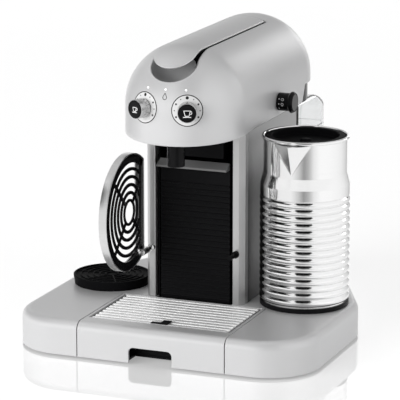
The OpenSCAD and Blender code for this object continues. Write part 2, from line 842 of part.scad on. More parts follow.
module left_dial() { color("silver") dial(-1); }
module right_dial() { color("silver") dial(1); }

module button(side) {
    face = head_r + 0.8 + dial_reach + 0.3;
    stem_low = board_face_r - board_t - 2;
    on_dial_axis(side, dial_z) {
        translate([0, 0, face - 1.6]) cylinder(d = button_dia, h = 1.6);
        translate([0, 0, stem_low]) cylinder(r = stem_r - 0.1, h = face - stem_low - 1);
    }
}

module left_button() { color("black") button(-1); }
module right_button() { color("black") button(1); }

module indicator_lamps() {
    color("white") lamp_places() translate([0, 0, -3]) cylinder(d = lamp_dia, h = 3.2);
}

// The knob's parts, with z = 0 on the head's flank and +Z pointing out of it
module on_knob_axis() {
    translate([head_r, knob_y, knob_z]) rotate([0, 90, 0]) children();
}

module milk_knob() {
    color("black") on_knob_axis() difference() {
        union() {
            translate([0, 0, gap]) cylinder(d = knob_dia, h = knob_len - 5 - gap);
            translate([0, 0, knob_len - 6]) cylinder(d1 = knob_dia, d2 = knob_rim_dia, h = 2);
            translate([0, 0, knob_len - 4]) cylinder(d = knob_rim_dia, h = 2);
            translate([0, 0, knob_len - 2]) cylinder(d1 = knob_rim_dia, d2 = knob_dia, h = 2);
            translate([0, 0, -12]) cylinder(r = knob_shaft_r, h = 14);
        }
        translate([0, 0, knob_len - 0.8]) cylinder(d = knob_dia - 1.6, h = 2);
    }
}

module milk_knob_cap() {
    color("silver") on_knob_axis() translate([0, 0, knob_len - 0.8]) cylinder(d = knob_dia - 1.6, h = 0.8);
}

// Switch block that the knob's shaft turns in, held on the head's deck
module milk_control() {
    color("dimgray") difference() {
        block([head_r - 22, knob_y - 9, deck_z], [head_r - 7, knob_y + 9, knob_z + 8]);
        on_knob_axis() translate([0, 0, -13]) cylinder(r = knob_shaft_r + pin_fit, h = 13);
    }
}

// ---- Lever ----
// A layer of the lever between two radii, drawn in at its sides and set back at its tip
module lever_slice(r_out, r_in, inset, setback) {
    intersection() {
        difference() {
            domed_body(r_out, lever_front_y, head_rear_y, head_axis_z - cut);
            domed_body(r_in, lever_front_y, head_rear_y, head_axis_z - 2 * cut);
        }
        translate([0, 0, head_axis_z]) linear_extrude(head_r + cut)
            tongue(lever_half_w - inset, lever_tip_y + setback, lever_rear_y - inset);
    }
}

module lever_cover() {
    color("silver") difference() {
        lever_slice(head_r, head_r - lever_skin, 0, 0);
        translate([0, hinge_y, hinge_z]) rotate([0, 90, 0])
            cylinder(r = lever_pin_dia / 2 + gap, h = 2 * lever_half_w + 2, center = true);
    }
}

module lever_bar() {
    color([0.12, 0.12, 0.12]) difference() {
        union() {
            lever_slice(head_r - lever_skin, head_r - lever_t, 1, bar_setback);
            difference() {
                translate([-lever_half_w + 1, hinge_y, hinge_z]) rotate([0, 90, 0])
                    cylinder(r = barrel_r, h = 2 * (lever_half_w - 1));
                // Ends below the cover
                difference() {
                    domed_body(head_r + cut, lever_front_y, head_rear_y, head_axis_z - cut);
                    domed_body(head_r - lever_skin, lever_front_y, head_rear_y, head_axis_z - 2 * cut);
                }
            }
        }
        translate([0, hinge_y, hinge_z]) rotate([0, 90, 0])
            cylinder(r = lever_pin_dia / 2 + pin_fit, h = 2 * lever_half_w + 2, center = true);
    }
}

module lever_pin() {
    color("gray") translate([0, hinge_y, hinge_z]) rotate([0, 90, 0])
        cylinder(d = lever_pin_dia, h = 2 * (lever_half_w + seam + pocket_wall) - 0.2, center = true);
}

// ---- Cup support ----
module support_hinge_pin() {
    color("gray") {
        rod_forward(-pin_x, pillar_y, support_hinge_z, support_pin_r, hinge_pin_len);
        rod_forward(-pin_x, pillar_y, support_hinge_z, collar_r, collar_t);
    }
}

module support_rest_pin() {
    color("black") {
        rod_forward(pin_x, pillar_y, rest_pin_z, support_pin_r, rest_pin_len);
        rod_forward(pin_x, pillar_y, rest_pin_z, collar_r, collar_t);
    }
}

// Outline of the support in its own plane: x to the rear, y up, centred on the disc
module support_plan(r, chord) {
    intersection() {
        circle(r);
        translate([-r, -r]) square([r + chord, 2 * r]);
    }
}

// Puts a flat shape on the folded-up support, with z = 0 on the face that looks to the right
module on_support() {
    translate([support_near_x, support_y, support_z]) rotate([90, 0, 90]) children();
}

module support_rim() {
    lug_y1 = chord_y - 1;
    lug_len = 14;
    color("silver") {
        on_support() {
            translate([0, 0, -support_t]) linear_extrude(support_t) difference() {
                support_plan(support_r, support_chord);
                support_plan(support_r - rim_t, support_chord - rim_t);
            }
            translate([0, 0, -support_t]) linear_extrude(support_t - grid_plate_t) difference() {
                support_plan(support_r - rim_t / 2, support_chord - rim_t / 2);
                support_plan(support_r - 7, support_chord - 7);
            }
        }
        difference() {
            union() {
                rod_forward(-pin_x, lug_y1, support_hinge_z, lug_r, lug_len);
                block([support_near_x - rim_t, lug_y1 - lug_len, support_hinge_z - lug_r],
                    [-pin_x, lug_y1, support_hinge_z + lug_r]);
            }
            rod_forward(-pin_x, lug_y1 + cut, support_hinge_z, support_pin_r + pin_fit, lug_len + 2 * cut);
            // The lug ends where the rim's own outline ends
            on_support() translate([0, 0, -support_t]) linear_extrude(support_t) difference() {
                square(4 * support_r, center = true);
                support_plan(support_r, support_chord);
            }
        }
    }
}

module support_grid() {
    inner = support_r - rim_t;
    color([0.08, 0.08, 0.08]) on_support() difference() {
        translate([0, 0, -grid_plate_t]) linear_extrude(grid_plate_t - 0.4) difference() {
            support_plan(inner, support_chord - rim_t);
            circle(support_hole_r);
            intersection() {
                difference() {
                    for (i = [0 : slot_count - 1]) difference() {
                        circle(slot_first_r + i * support_slot_pitch + support_slot);
                        circle(slot_first_r + i * support_slot_pitch);
                    }
                    for (a = [45, 135]) rotate(a) square([2.4 * support_r, spoke_w], center = true);
                }
                translate([-support_r, -support_r]) square([support_r + support_chord - chord_band, 2 * support_r]);
            }
        }
        // Room for the hinge lug that reaches into the plate's corner
        translate([chord_y - 18 - support_y, support_hinge_z - support_z - lug_r - gap, -rim_t - gap])
            cube([20, 2 * (lug_r + gap), 4]);
    }
}

// ---- Cup warmer and frother drive ----
module cup_warmer() {
    rim_w = 2.4;
    dish = 1.6;
    rings = 5;
    ring_pitch = (warmer_r - rim_w - 6) / rings;
    color([0.07, 0.07, 0.08]) translate([warmer_x, side_axis_y, base_top]) {
        difference() {
            cylinder(r1 = warmer_r - 1.5, r2 = warmer_r, h = warmer_h);
            translate([0, 0, warmer_h - dish]) cylinder(r = warmer_r - rim_w, h = dish + cut);
            translate([0, 0, -cut]) cylinder(r = warmer_r - 6, h = warmer_h - dish - 2.4 + cut);
        }
        translate([0, 0, warmer_h - dish]) {
            for (i = [0 : rings - 1]) tube(6 + i * ring_pitch + 1.3, 6 + i * ring_pitch, 1);
            for (a = [0 : 60 : 300]) rotate([0, 0, a]) block([7, -0.7, 0], [warmer_r - rim_w + 1, 0.7, 1]);
        }
    }
}

module warmer_heater() {
    color("darkorange") translate([warmer_x, side_axis_y, base_top]) cylinder(r = warmer_r - 7, h = warmer_h - 4.4);
}

module frother_dock() {
    color([0.1, 0.1, 0.1]) translate([jug_x, side_axis_y, base_top]) {
        cylinder(r = jug_r - 9, h = 2);
        cylinder(r = 6, h = 4);
    }
}

module frother_motor() {
    color("gray") translate([jug_x, side_axis_y, plate_top]) {
        cylinder(r = 20, h = under_top - plate_top);
    }
}

// ---- Drawer ----
module drawer_cover() {
    color("silver") difference() {
        union() {
            intersection() {
                difference() {
                    base_block(0, shell_low, base_top, base_edge_r);
                    base_block(base_wall, shell_low - cut, under_top, base_edge_r - base_wall);
                }
                block([-drawer_half_w, front_y - cut, 0], [drawer_half_w, drawer_back_y, base_top + cut]);
            }
            block_pair([tray_half_w, front_y + base_edge_r, tray_low], [drawer_half_w, drawer_back_y, under_top]);
        }
        block([-grid_half_w, grid_front_y, under_top - cut], [grid_half_w, grid_back_y, base_top + cut]);
        // Grip notch, open at the drawer's lower edge
        translate([0, front_y + 2 * base_wall, shell_low]) rotate([90, 0, 0]) linear_extrude(4 * base_wall) {
            translate([-notch_w / 2, -cut]) square([notch_w, notch_h - notch_r + cut]);
            translate([-notch_w / 2 + notch_r, 0]) square([notch_w - 2 * notch_r, notch_h]);
            for (x = [-1, 1]) translate([x * (notch_w / 2 - notch_r), notch_h - notch_r]) circle(notch_r);
        }
    }
}

module drip_tray() {
    tray_top = base_top - grid_t - 1;
    rear_half_w = container_half_w;
    color([0.08, 0.08, 0.09]) {
        difference() {
            block([-tray_half_w, grid_front_y, tray_low], [tray_half_w, drawer_back_y, tray_top]);
            block([-tray_half_w + tray_wall, grid_front_y + tray_wall, tray_low + tray_wall],
                [tray_half_w - tray_wall, drawer_back_y - tray_wall, tray_top + cut]);
        }
        // Rear arm that carries the capsule container
        block([-rear_half_w, drawer_back_y, tray_low], [rear_half_w, container_back_y, base_top]);
        // Ledges under the grid's ends
        block_pair([grid_half_w - 4, grid_front_y, tray_top - 2], [grid_half_w, grid_back_y, tray_top]);
    }
}

module drip_grid() {
    end_x = grid_half_w - 1.2;
    low = base_top - grid_t;
    color("gainsboro") {
        for (i = [0 : grid_bars - 1])
            block([-end_x, grid_front_y + gap + i * grid_pitch, low + 1],
                [end_x, grid_front_y + gap + i * grid_pitch + grid_bar_w, base_top]);
        for (x = [-1, 0, 1])
            block([x * (end_x - 4) - 1.5, grid_front_y + gap, low - 1 + gap],
                [x * (end_x - 4) + 1.5, grid_back_y - gap, low + 1]);
    }
}

// Small clip that holds the front bars together
module grid_clip() {
    y = grid_front_y + gap;
    color("black") {
        block([-9, y, base_top], [7, y + grid_bar_w, base_top + 1]);
        block([0, y, base_top], [9, y + grid_pitch + grid_bar_w, base_top + 1]);
        block([3, y + grid_bar_w, base_top - 1], [7, y + grid_pitch, base_top]);
    }
}

// ---- Capsule container ----
module capsule_container() {
    rib_t = 1.2;
    rib_count = floor((container_top - container_low - 14) / container_rib_pitch);
    color([0.06, 0.06, 0.07]) {
        difference() {
            block([-container_half_w, container_front_y, container_low],
                [container_half_w, container_back_y, container_top]);
            block([-container_half_w + container_wall, container_front_y + container_wall, container_low + container_wall],
                [container_half_w - container_wall, container_back_y - container_wall, container_top + cut]);
        }
        for (i = [0 : rib_count - 1])
            block([-container_half_w, container_front_y - rib_t, container_low + 2 + i * container_rib_pitch],
                [container_half_w, container_front_y, container_low + 4 + i * container_rib_pitch]);
    }
}

// Sloping lip along the top of the container's front, to pull it out by
module container_lip() {
    t = 2.2;
    low = container_top - t;
    color("gray") translate([-container_half_w, 0, 0]) rotate([90, 0, 90]) linear_extrude(2 * container_half_w)
        polygon([[container_front_y, low], [container_front_y, low + t + lip_drop],
            [container_front_y - 1, low + t + lip_drop], [container_front_y - lip_reach, low + t],
            [container_front_y - lip_reach, low]]);
}

// ---- Milk jug ----
module milk_jug() {
    neck_low = rib_top_z + jug_band_h + 12;
    band_top = rib_top_z + jug_band_h;
    spout_low = neck_low + 2;
    spout_top = jug_rim_z - 7;
    inner_r = jug_neck_r - jug_wall;
    color("gainsboro") translate([jug_x, side_axis_y, 0]) difference() {
        union() {
            rotate_extrude() {
                translate([0, jug_low + foot_ring_h]) square([rib_valley_r, band_top - jug_low - foot_ring_h]);
                translate([0, rib_top_z]) square([jug_r - 0.4, jug_band_h]);
                for (i = [0 : jug_ribs - 1])
                    translate([jug_r - rib_r, rib_low_z + (i + 0.5) * rib_pitch]) circle(rib_r, $fn = 32);
                polygon([[0, band_top], [jug_r - 0.4, band_top], [jug_neck_r, neck_low], [0, neck_low]]);
                translate([0, neck_low]) square([jug_neck_r, jug_rim_z - lip_r - neck_low]);
                translate([jug_neck_r + 0.6, jug_rim_z - lip_r]) circle(lip_r, $fn = 32);
            }
            spout_wedge(0, spout_low, spout_top);
        }
        translate([0, 0, jug_floor_z]) cylinder(r = inner_r, h = jug_h);
        spout_wedge(1.4, spout_low, spout_top + 1.4);
    }
}

// The folded pouring spout: a three-sided wedge that narrows downwards
module spout_wedge(inset, low, high) {
    reach = 11 - 1.4 * inset;
    half = 19 - 1.6 * inset;
    root = sqrt(pow(jug_neck_r, 2) - half * half) - 1;
    inner = jug_neck_r - jug_wall - 1;
    polyhedron(points = [[0, -inner, low + 3 * inset], [0, -jug_neck_r - 0.6 + inset, low + 3 * inset],
            [-half, -root, high], [half, -root, high], [0, -jug_neck_r - reach, high]],
        faces = [[2, 1, 0], [2, 4, 1], [4, 3, 1], [1, 3, 0], [3, 2, 0], [3, 4, 2]]);
}

module jug_foot_ring() {
    color("black") translate([jug_x, side_axis_y, jug_low]) tube(jug_r - 0.6, jug_r - 7, foot_ring_h);
}

module jug_lid() {
    top = jug_rim_z - 0.6;
    depth = 9;
    seal_w = 6.6;
    color([0.08, 0.08, 0.08]) translate([jug_x, side_axis_y, 0]) {
        difference() {
            translate([0, 0, top - depth]) cylinder(r = lid_r, h = depth);
            translate([0, 0, top - depth + 2]) cylinder(r = lid_r - seal_w, h = depth);
        }
        translate([0, 0, top - depth + 2]) cylinder(r = 5, h = 3);
    }
}

module whisk() {
    ring_z = jug_floor_z + 7;
    color("silver") translate([jug_x, side_axis_y, 0]) {
        translate([0, 0, jug_floor_z + gap]) cylinder(r = 5, h = 4);
        translate([0, 0, jug_floor_z + gap]) cylinder(r = 1.2, h = 22);
        translate([0, 0, ring_z]) rotate_extrude() translate([12, 0]) circle(1.6);
        for (a = [0 : 120 : 240]) rotate([0, 0, a]) translate([0, 0, ring_z]) rotate([0, 90, 0]) cylinder(r = 1, h = 12);
    }
}

// ---- Water tank ----
module tank_plan(inset) {
    x = tank_half_w - inset;
    y1 = tank_front_y + inset;
    y2 = tank_rear_y - inset;
    rounded_outline([[-x, y1], [x, y1], [x, y2], [-x, y2]],
        [4, 4, tank_corner_r - inset, tank_corner_r - inset]);
}

module water_tank() {
    color([0.8, 0.85, 0.9, 0.4]) difference() {
        translate([0, 0, tank_low]) linear_extrude(tank_rim_z - tank_low) tank_plan(0);
        translate([0, 0, tank_low + tank_wall]) linear_extrude(tank_rim_z) tank_plan(tank_wall);
        translate([0, tank_front_y - cut, dock_z]) rotate([-90, 0, 0])
            cylinder(r = dock_r + gap, h = tank_wall + 2 * cut);
    }
}

// Side outline of the lid: flat top that rounds down to the tank's rear
module lid_side(inset) {
    y1 = tank_front_y + inset;
    y2 = tank_rear_y - inset;
    top = tank_top_z - inset;
    r = tank_shoulder_r - inset;
    translate([y1, tank_lid_low - inset]) square([y2 - y1 - r, top - tank_lid_low + inset]);
    translate([y1, tank_lid_low - inset]) square([y2 - y1, top - tank_lid_low + inset - r]);
    translate([y2 - r, top - r]) circle(r);
}

module tank_lid() {
    color([0.8, 0.85, 0.9, 0.4]) difference() {
        lid_block(0);
        lid_block(tank_wall);
    }
}

module lid_block(inset) {
    x = tank_half_w - inset;
    intersection() {
        translate([-x, 0, 0]) rotate([90, 0, 90]) linear_extrude(2 * x) lid_side(inset);
        translate([0, 0, tank_lid_low - inset]) linear_extrude(tank_top_z) tank_plan(inset);
    }
}

module tank_valve() {
    y = tank_front_y + tank_wall;
    color("dimgray") translate([0, y, dock_z]) rotate([-90, 0, 0]) {
        tube(dock_r + 3, dock_r + gap, 8);
        translate([0, 0, 8]) cylinder(r = dock_r + 3, h = 2);
    }
}

module tank_dock() {
    y0 = column_rear_y - panel_wall - 0.6;
    color([0.2, 0.2, 0.2]) translate([0, y0, dock_z]) rotate([-90, 0, 0]) {
        tube(dock_r, 3, tank_front_y + tank_wall + 5 - y0);
        translate([0, 0, panel_wall]) tube(dock_r + 4, 3, 2);
    }
}

base_shell();
base_plate();
rubber_feet();
base_screws();
power_inlet();
left_pillar();
right_pillar();
left_side_panel();
right_side_panel();
rear_panel();
bay_liner();
head_shell();
head_underside();
coffee_outlet();
brew_unit();
brew_piston();
capsule_chute();
pump();
pump_mount();
thermoblock();
water_hoses();
power_board();
control_board();
dial_encoders();
left_scale_ring();
right_scale_ring();
indicator_lamps();
lever_cover();
lever_bar();
lever_pin();
left_dial();
right_dial();
left_button();
right_button();
milk_knob();
milk_knob_cap();
milk_control();
support_hinge_pin();
support_rest_pin();
support_rim();
support_grid();
cup_warmer();
warmer_heater();
frother_dock();
frother_motor();
drawer_cover();
drip_tray();
drip_grid();
grid_clip();
capsule_container();
container_lip();
milk_jug();
jug_foot_ring();
jug_lid();
whisk();
water_tank();
tank_lid();
tank_valve();
tank_dock();
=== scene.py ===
import json
import math
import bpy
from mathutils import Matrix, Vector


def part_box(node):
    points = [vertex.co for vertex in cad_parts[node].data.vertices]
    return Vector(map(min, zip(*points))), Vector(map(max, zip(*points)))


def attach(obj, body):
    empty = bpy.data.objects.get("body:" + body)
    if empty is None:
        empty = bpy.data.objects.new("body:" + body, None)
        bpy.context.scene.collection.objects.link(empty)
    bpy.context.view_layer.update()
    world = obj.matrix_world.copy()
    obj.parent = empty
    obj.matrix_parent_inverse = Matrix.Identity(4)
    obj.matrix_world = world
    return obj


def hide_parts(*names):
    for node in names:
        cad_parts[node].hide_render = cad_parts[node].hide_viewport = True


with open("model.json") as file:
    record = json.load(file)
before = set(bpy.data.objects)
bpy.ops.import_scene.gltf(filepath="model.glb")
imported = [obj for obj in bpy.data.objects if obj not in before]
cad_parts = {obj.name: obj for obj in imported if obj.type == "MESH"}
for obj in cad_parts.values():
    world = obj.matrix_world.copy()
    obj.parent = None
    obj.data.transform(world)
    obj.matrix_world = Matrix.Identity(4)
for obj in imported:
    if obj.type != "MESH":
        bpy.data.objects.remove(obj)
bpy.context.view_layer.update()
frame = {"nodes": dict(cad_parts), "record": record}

from types import SimpleNamespace

import bmesh
import bpy
import numpy as np
from bpy.props import FloatProperty, FloatVectorProperty, IntProperty
from bpy.types import Operator, Panel, PropertyGroup
from mathutils import Vector

bl_info = {
    "name": "Capsule coffee machine",
    "version": (1, 0, 0),
    "blender": (4, 5, 0),
    "location": "3D View > Sidebar > Coffee",
    "description": "Surfaces, finishes and studio for a capsule coffee machine built round its packed frame",
    "category": "Mesh",
}

# Shapes are worked out in millimetres, with the front along -Y and Z up; piece() writes them in metres.
MM = 0.001
BODY_OF = {node: body for body, nodes in frame["record"]["behaviour"]["bodies"].items() for node in nodes}
SLOT_OF = {row["node"]: row["material_slot"] for row in frame["record"]["subparts"]}


def corners_of(node):
    """Lowest and highest corner of a CAD node, in millimetres."""
    return tuple(np.array(corner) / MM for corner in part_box(node))


BOX = {node: corners_of(node) for node in frame["nodes"]}


def middle_of(node):
    """Middle of a CAD node's box."""
    low, high = BOX[node]
    return (low + high) / 2


def foot_of(node):
    """Middle of the lower face of a CAD node's box."""
    return (*middle_of(node)[:2], BOX[node][0][2])


def in_mm(group):
    """The lengths of a property group in millimetres, and its other numbers as they are."""
    values = {}
    for prop in group.bl_rna.properties:
        if prop.type in {"FLOAT", "INT"} and not getattr(prop, "is_array", False):
            scale = 1 / MM if prop.unit == "LENGTH" else 1
            values[prop.identifier] = getattr(group, prop.identifier) * scale
    return SimpleNamespace(**values)


# ---------------------------------------------------------------- curves and surfaces

def unit(vectors):
    """The same directions with a length of one."""
    return vectors / np.linalg.norm(vectors, axis=-1, keepdims=True)


def grid(points, close_u=False, close_v=False):
    """Four-sided faces over a grid of points[u, v]."""
    nu, nv = points.shape[:2]
    u, v = np.meshgrid(np.arange(nu if close_u else nu - 1), np.arange(nv if close_v else nv - 1), indexing="ij")
    u2, v2 = (u + 1) % nu, (v + 1) % nv
    faces = np.stack([u * nv + v, u2 * nv + v, u2 * nv + v2, u * nv + v2], -1).reshape(-1, 4)
    return points.reshape(-1, 3), faces.tolist()


def plate(points):
    """One flat many-sided face inside a loop of points."""
    return np.array(points, float), [list(range(len(points)))]


def joined(*parts):
    """One list of points and one of faces from several parts."""
    points, faces, start = [], [], 0
    for part_points, part_faces in parts:
        points.append(part_points)
        faces.extend([[i + start for i in face] for face in part_faces])
        start += len(part_points)
    return np.concatenate(points), faces


def placed(part, origin, x_axis, y_axis):
    """Carries a part from its own axes to an origin, with its x and y along two given directions."""
    x_axis, y_axis = np.array(x_axis, float), np.array(y_axis, float)
    return np.array(origin) + part[0] @ np.stack([x_axis, y_axis, np.cross(x_axis, y_axis)]), part[1]


def swung(part, origin, turn):
    """Carries a part to an origin and turns it there about the vertical."""
    return placed(part, origin, (math.cos(turn), math.sin(turn), 0), (-math.sin(turn), math.cos(turn), 0))


def spread(*values):
    """Points whose coordinates are arrays or numbers that are stretched to one common shape."""
    return np.stack(np.broadcast_arrays(*values), -1)


def arc_rows(corners, toward_a, toward_b, radius, steps):
    """Rounds many corners at once: at each corner, the arc of one radius that is tangent to the two unit
    directions. Its centre lies along their bisector at radius / sin(half the angle between them)."""
    half = np.arccos(np.clip((toward_a * toward_b).sum(-1, keepdims=True), -1, 1)) / 2
    run = radius / np.tan(half)
    centre = corners + unit(toward_a + toward_b) * radius / np.sin(half)
    start, end = corners + toward_a * run - centre, corners + toward_b * run - centre
    whole = (math.pi - 2 * half)[:, None]
    share = np.linspace(0, 1, steps)[:, None]
    swing = np.sin((1 - share) * whole) * start[:, None] + np.sin(share * whole) * end[:, None]
    return centre[:, None] + swing / np.sin(whole)


def corner_arc(before, corner, after, radius, steps):
    """The arc that rounds one corner of an outline, kept within half of each edge."""
    a, b = before - corner, after - corner
    reach = 0.499 * min(np.linalg.norm(a), np.linalg.norm(b))
    a, b = unit(a), unit(b)
    half = math.acos(np.clip(a @ b, -1, 1)) / 2
    if radius <= 0 or half > math.pi / 2 - 1e-3:
        return corner[None]
    radius = min(radius, reach * math.tan(half))
    return arc_rows(corner[None], a[None], b[None], radius, steps)[0]


def filleted(points, radii, steps=5):
    """An open line whose inner corners are rounded."""
    points = np.array(points, float)
    radii = np.broadcast_to(radii, len(points))
    arcs = [corner_arc(*points[i - 1 : i + 2], radii[i], steps) for i in range(1, len(points) - 1)]
    return np.concatenate([points[:1], *arcs, points[-1:]])


def outline(corners, radii, steps=12):
    """A closed outline with a round of its own radius at each corner."""
    corners = np.array(corners, float)
    radii = np.broadcast_to(radii, len(corners))
    return np.concatenate([corner_arc(corners[i - 1], corners[i], corners[(i + 1) % len(corners)], radii[i], steps)
                           for i in range(len(corners))])


def rectangle(x0, y0, x1, y1):
    return [(x0, y0), (x1, y0), (x1, y1), (x0, y1)]


def densified(points, step):
    """A closed outline with more points on its long edges, none further apart than the step."""
    loop = np.concatenate([points, points[:1]])
    along = np.concatenate([[0], np.cumsum(np.linalg.norm(np.diff(loop, axis=0), axis=1))])
    extra = np.linspace(0, along[-1], int(along[-1] / step) + 1)[:-1]
    at = np.unique(np.round(np.concatenate([along[:-1], extra]), 4))
    return np.stack([np.interp(at, along, loop[:, k]) for k in range(points.shape[1])], 1)


def outward(points):
    """Outward normals of a counter-clockwise outline, long enough that an inset keeps its width at corners."""
    ahead, behind = unit(np.roll(points, -1, 0) - points), unit(points - np.roll(points, 1, 0))
    along = unit(ahead + behind)
    stretch = 1 / np.maximum((along * ahead).sum(1, keepdims=True), 0.5)
    return np.stack([along[:, 1], -along[:, 0]], 1) * stretch


def banded(points, profile, close_profile=False):
    """A wall along a closed outline: for each row (inset, height) the outline moves in by the inset."""
    profile = np.array(profile, float)
    plan = points[:, None] - outward(points)[:, None] * profile[None, :, :1]
    return grid(spread(plan[..., 0], plan[..., 1], profile[None, :, 1]), close_u=True, close_v=close_profile)


def capped(points, profile):
    """A wall along a closed outline, closed by flat faces over its first and its last row."""
    wall, faces = banded(points, profile)
    loop = np.arange(len(points)) * len(profile)
    return wall, faces + [loop[::-1].tolist(), (loop + len(profile) - 1).tolist()]


def quarter(radius, steps):
    """How far a quarter round lies inside the two faces that it joins, from its start on the first face:
    radius (1 - cosine) from the first and radius (1 - sine) from the second."""
    turn = np.linspace(0, math.pi / 2, steps)
    return radius * (1 - np.cos(turn)), radius * (1 - np.sin(turn))


def block(points, low, high, edge, steps=4):
    """A plate with a quarter-round rim of one radius at both faces, closed by two flat faces."""
    inset, rise = quarter(edge, steps)
    return capped(points, np.concatenate([np.stack([inset[::-1], low + rise[::-1]], 1),
                                          np.stack([inset, high - rise], 1)]))


def bar(low, high, edge):
    """A bar with rounded edges between two opposite corners."""
    return block(outline(rectangle(*low[:2], *high[:2]), edge, 3), low[2], high[2], edge, 3)


def turned(profile, centre, axis=(0, 0, 1), steps=96, start=0.0, sweep=None):
    """Surface of revolution: rows (radius, height along the axis) are carried round the axis."""
    axis = unit(np.array(axis, float))
    side = unit(np.cross((0, 1, 0) if abs(axis[1]) < 0.9 else (0, 0, 1), axis))
    across = np.cross(axis, side)
    turn = start + np.linspace(0, sweep or 2 * math.pi, steps, endpoint=sweep is not None)
    ring = np.cos(turn)[:, None] * side + np.sin(turn)[:, None] * across
    profile = np.array(profile, float)
    points = np.array(centre) + ring[:, None] * profile[None, :, :1] + axis * profile[None, :, 1:]
    return grid(points, close_u=sweep is None)


class Dome:
    """A long round body: a level segment of axis with a round of one radius about it."""

    def __init__(self, radius, front_y, rear_y, axis_z):
        self.radius, self.front_y, self.rear_y, self.axis_z = radius, front_y, rear_y, axis_z
        self.front = np.array([0, front_y, axis_z])

    def foot(self, points):
        """The nearest point of the axis segment."""
        foot = np.zeros_like(points)
        foot[..., 1] = np.clip(points[..., 1], self.front_y, self.rear_y)
        foot[..., 2] = self.axis_z
        return foot

    def project(self, points):
        """Moves points straight away from the axis until they lie on the dome."""
        foot = self.foot(points)
        return foot + unit(points - foot) * self.radius

    def normal(self, points):
        """Directions straight out of the dome."""
        return unit(points - self.foot(points))

    def lift(self, x, y, radius=None):
        """Height over plan points: the root of the squared radius less the squared plan distance from the axis."""
        away = y - np.clip(y, self.front_y, self.rear_y)
        square = (radius or self.radius) ** 2 - x**2 - away**2
        return spread(x, y, self.axis_z + np.sqrt(np.maximum(square, 0)))


def head_dome():
    """The head's own dome, which fills the width and the top of its box."""
    low, high = BOX["head_shell"]
    return Dome(high[0], low[1] + high[0], high[1] - high[0], high[2] - high[0])


# ---------------------------------------------------------------- meshes and their place in the frame

# Points nearer than this many metres are merged.
WELD = 2e-6
# Angles in degrees past which an edge stays sharp, for new surfaces and for copies of CAD nodes, and past which it
# is rounded, and the angle under which two faces count as one flat face.
SHARP_NEW, SHARP_COPY, ROUNDED_FROM, FLAT_UNDER = 35, 30, 40, 0.3


def linked(name, data):
    """A new object in the scene."""
    thing = bpy.data.objects.new(name, data)
    bpy.context.scene.collection.objects.link(thing)
    return thing


def mesh_of(name, part):
    """A mesh of a part's points, which are in millimetres, and faces."""
    mesh = bpy.data.meshes.new(name)
    mesh.from_pydata((part[0] * MM).tolist(), [], part[1])
    return mesh


def tidy_mesh(mesh, sharp, turn=True, away=None, toward=None):
    """Merges doubles, turns the faces outwards, or away from or toward a point, and keeps edges past an angle sharp."""
    work = bmesh.new()
    work.from_mesh(mesh)
    bmesh.ops.remove_doubles(work, verts=work.verts, dist=WELD)
    bmesh.ops.dissolve_degenerate(work, dist=WELD, edges=work.edges)
    if turn:
        bmesh.ops.recalc_face_normals(work, faces=work.faces)
    work.to_mesh(mesh)
    work.free()
    count = len(mesh.polygons)
    if away is not None or toward is not None:
        centre, normal, area = np.empty(count * 3), np.empty(count * 3), np.empty(count)
        mesh.polygons.foreach_get("center", centre)
        mesh.polygons.foreach_get("normal", normal)
        mesh.polygons.foreach_get("area", area)
        from_point = centre.reshape(-1, 3) - np.array(toward if away is None else away) * MM
        facing = (unit(from_point) * normal.reshape(-1, 3)).sum(1) @ area
        if (facing < 0) == (away is not None):
            mesh.flip_normals()
    mesh.polygons.foreach_set("use_smooth", np.ones(count, bool))
    mesh.set_sharp_from_angle(angle=math.radians(sharp))
    mesh.update()


def settled(thing, node, slot, material, edge):
    """Lets a finished piece ride on its body, stand for its CAD node and take a finish, and rounds its sharp edges."""
    thing.data.materials.append(finish(material or slot))
    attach(thing, BODY_OF[node])
    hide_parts(node)
    if edge:
        bevel = thing.modifiers.new("rounded edges", "BEVEL")
        bevel.width = edge * MM
        bevel.segments = 3
        bevel.limit_method = "ANGLE"
        bevel.angle_limit = math.radians(ROUNDED_FROM)
        bevel.harden_normals = True


def piece(name, part, node, slot=None, material=None, edge=0.0, away=None, toward=None):
    """Makes a new surface into an object of the machine that stands for a CAD node."""
    mesh = mesh_of(name, part)
    tidy_mesh(mesh, SHARP_NEW, away=away, toward=toward)
    settled(linked(name, mesh), node, slot or SLOT_OF[node], material, edge)


def refined(node, edge=0.4, material=None):
    """A merged copy of a CAD node with its flat faces made whole and its edges rounded, which stands for it."""
    mesh = frame["nodes"][node].data.copy()
    mesh.materials.clear()
    work = bmesh.new()
    work.from_mesh(mesh)
    bmesh.ops.remove_doubles(work, verts=work.verts, dist=WELD)
    bmesh.ops.dissolve_limit(work, angle_limit=math.radians(FLAT_UNDER), verts=work.verts, edges=work.edges)
    work.to_mesh(mesh)
    work.free()
    tidy_mesh(mesh, SHARP_COPY, turn=False)
    settled(linked(node + "_body", mesh), node, SLOT_OF[node], material, edge)


def dressed(*nodes):
    """CAD nodes that keep their meshes and get their finish."""
    for node in nodes:
        mesh = frame["nodes"][node].data
        mesh.materials.clear()
        mesh.materials.append(finish(SLOT_OF[node]))


# ---------------------------------------------------------------- finishes

def feed(tree, node, inputs):
    """Sets inputs of a shader node to values, or links them to other nodes' outputs."""
    for key, value in inputs.items():
        if isinstance(value, bpy.types.NodeSocket):
            tree.links.new(value, node.inputs[key])
        else:
            node.inputs[key].default_value = value


def add(tree, kind, inputs=None, **settings):
    """Adds a shader node, sets its attributes, and sets or links its inputs."""
    made = tree.nodes.new(kind)
    for key, value in settings.items():
        setattr(made, key, value)
    feed(tree, made, inputs or {})
    return made


def node_material(name):
    """A new material, with its tree of shader nodes."""
    material = bpy.data.materials.new(name)
    material.use_nodes = True
    return material, material.node_tree


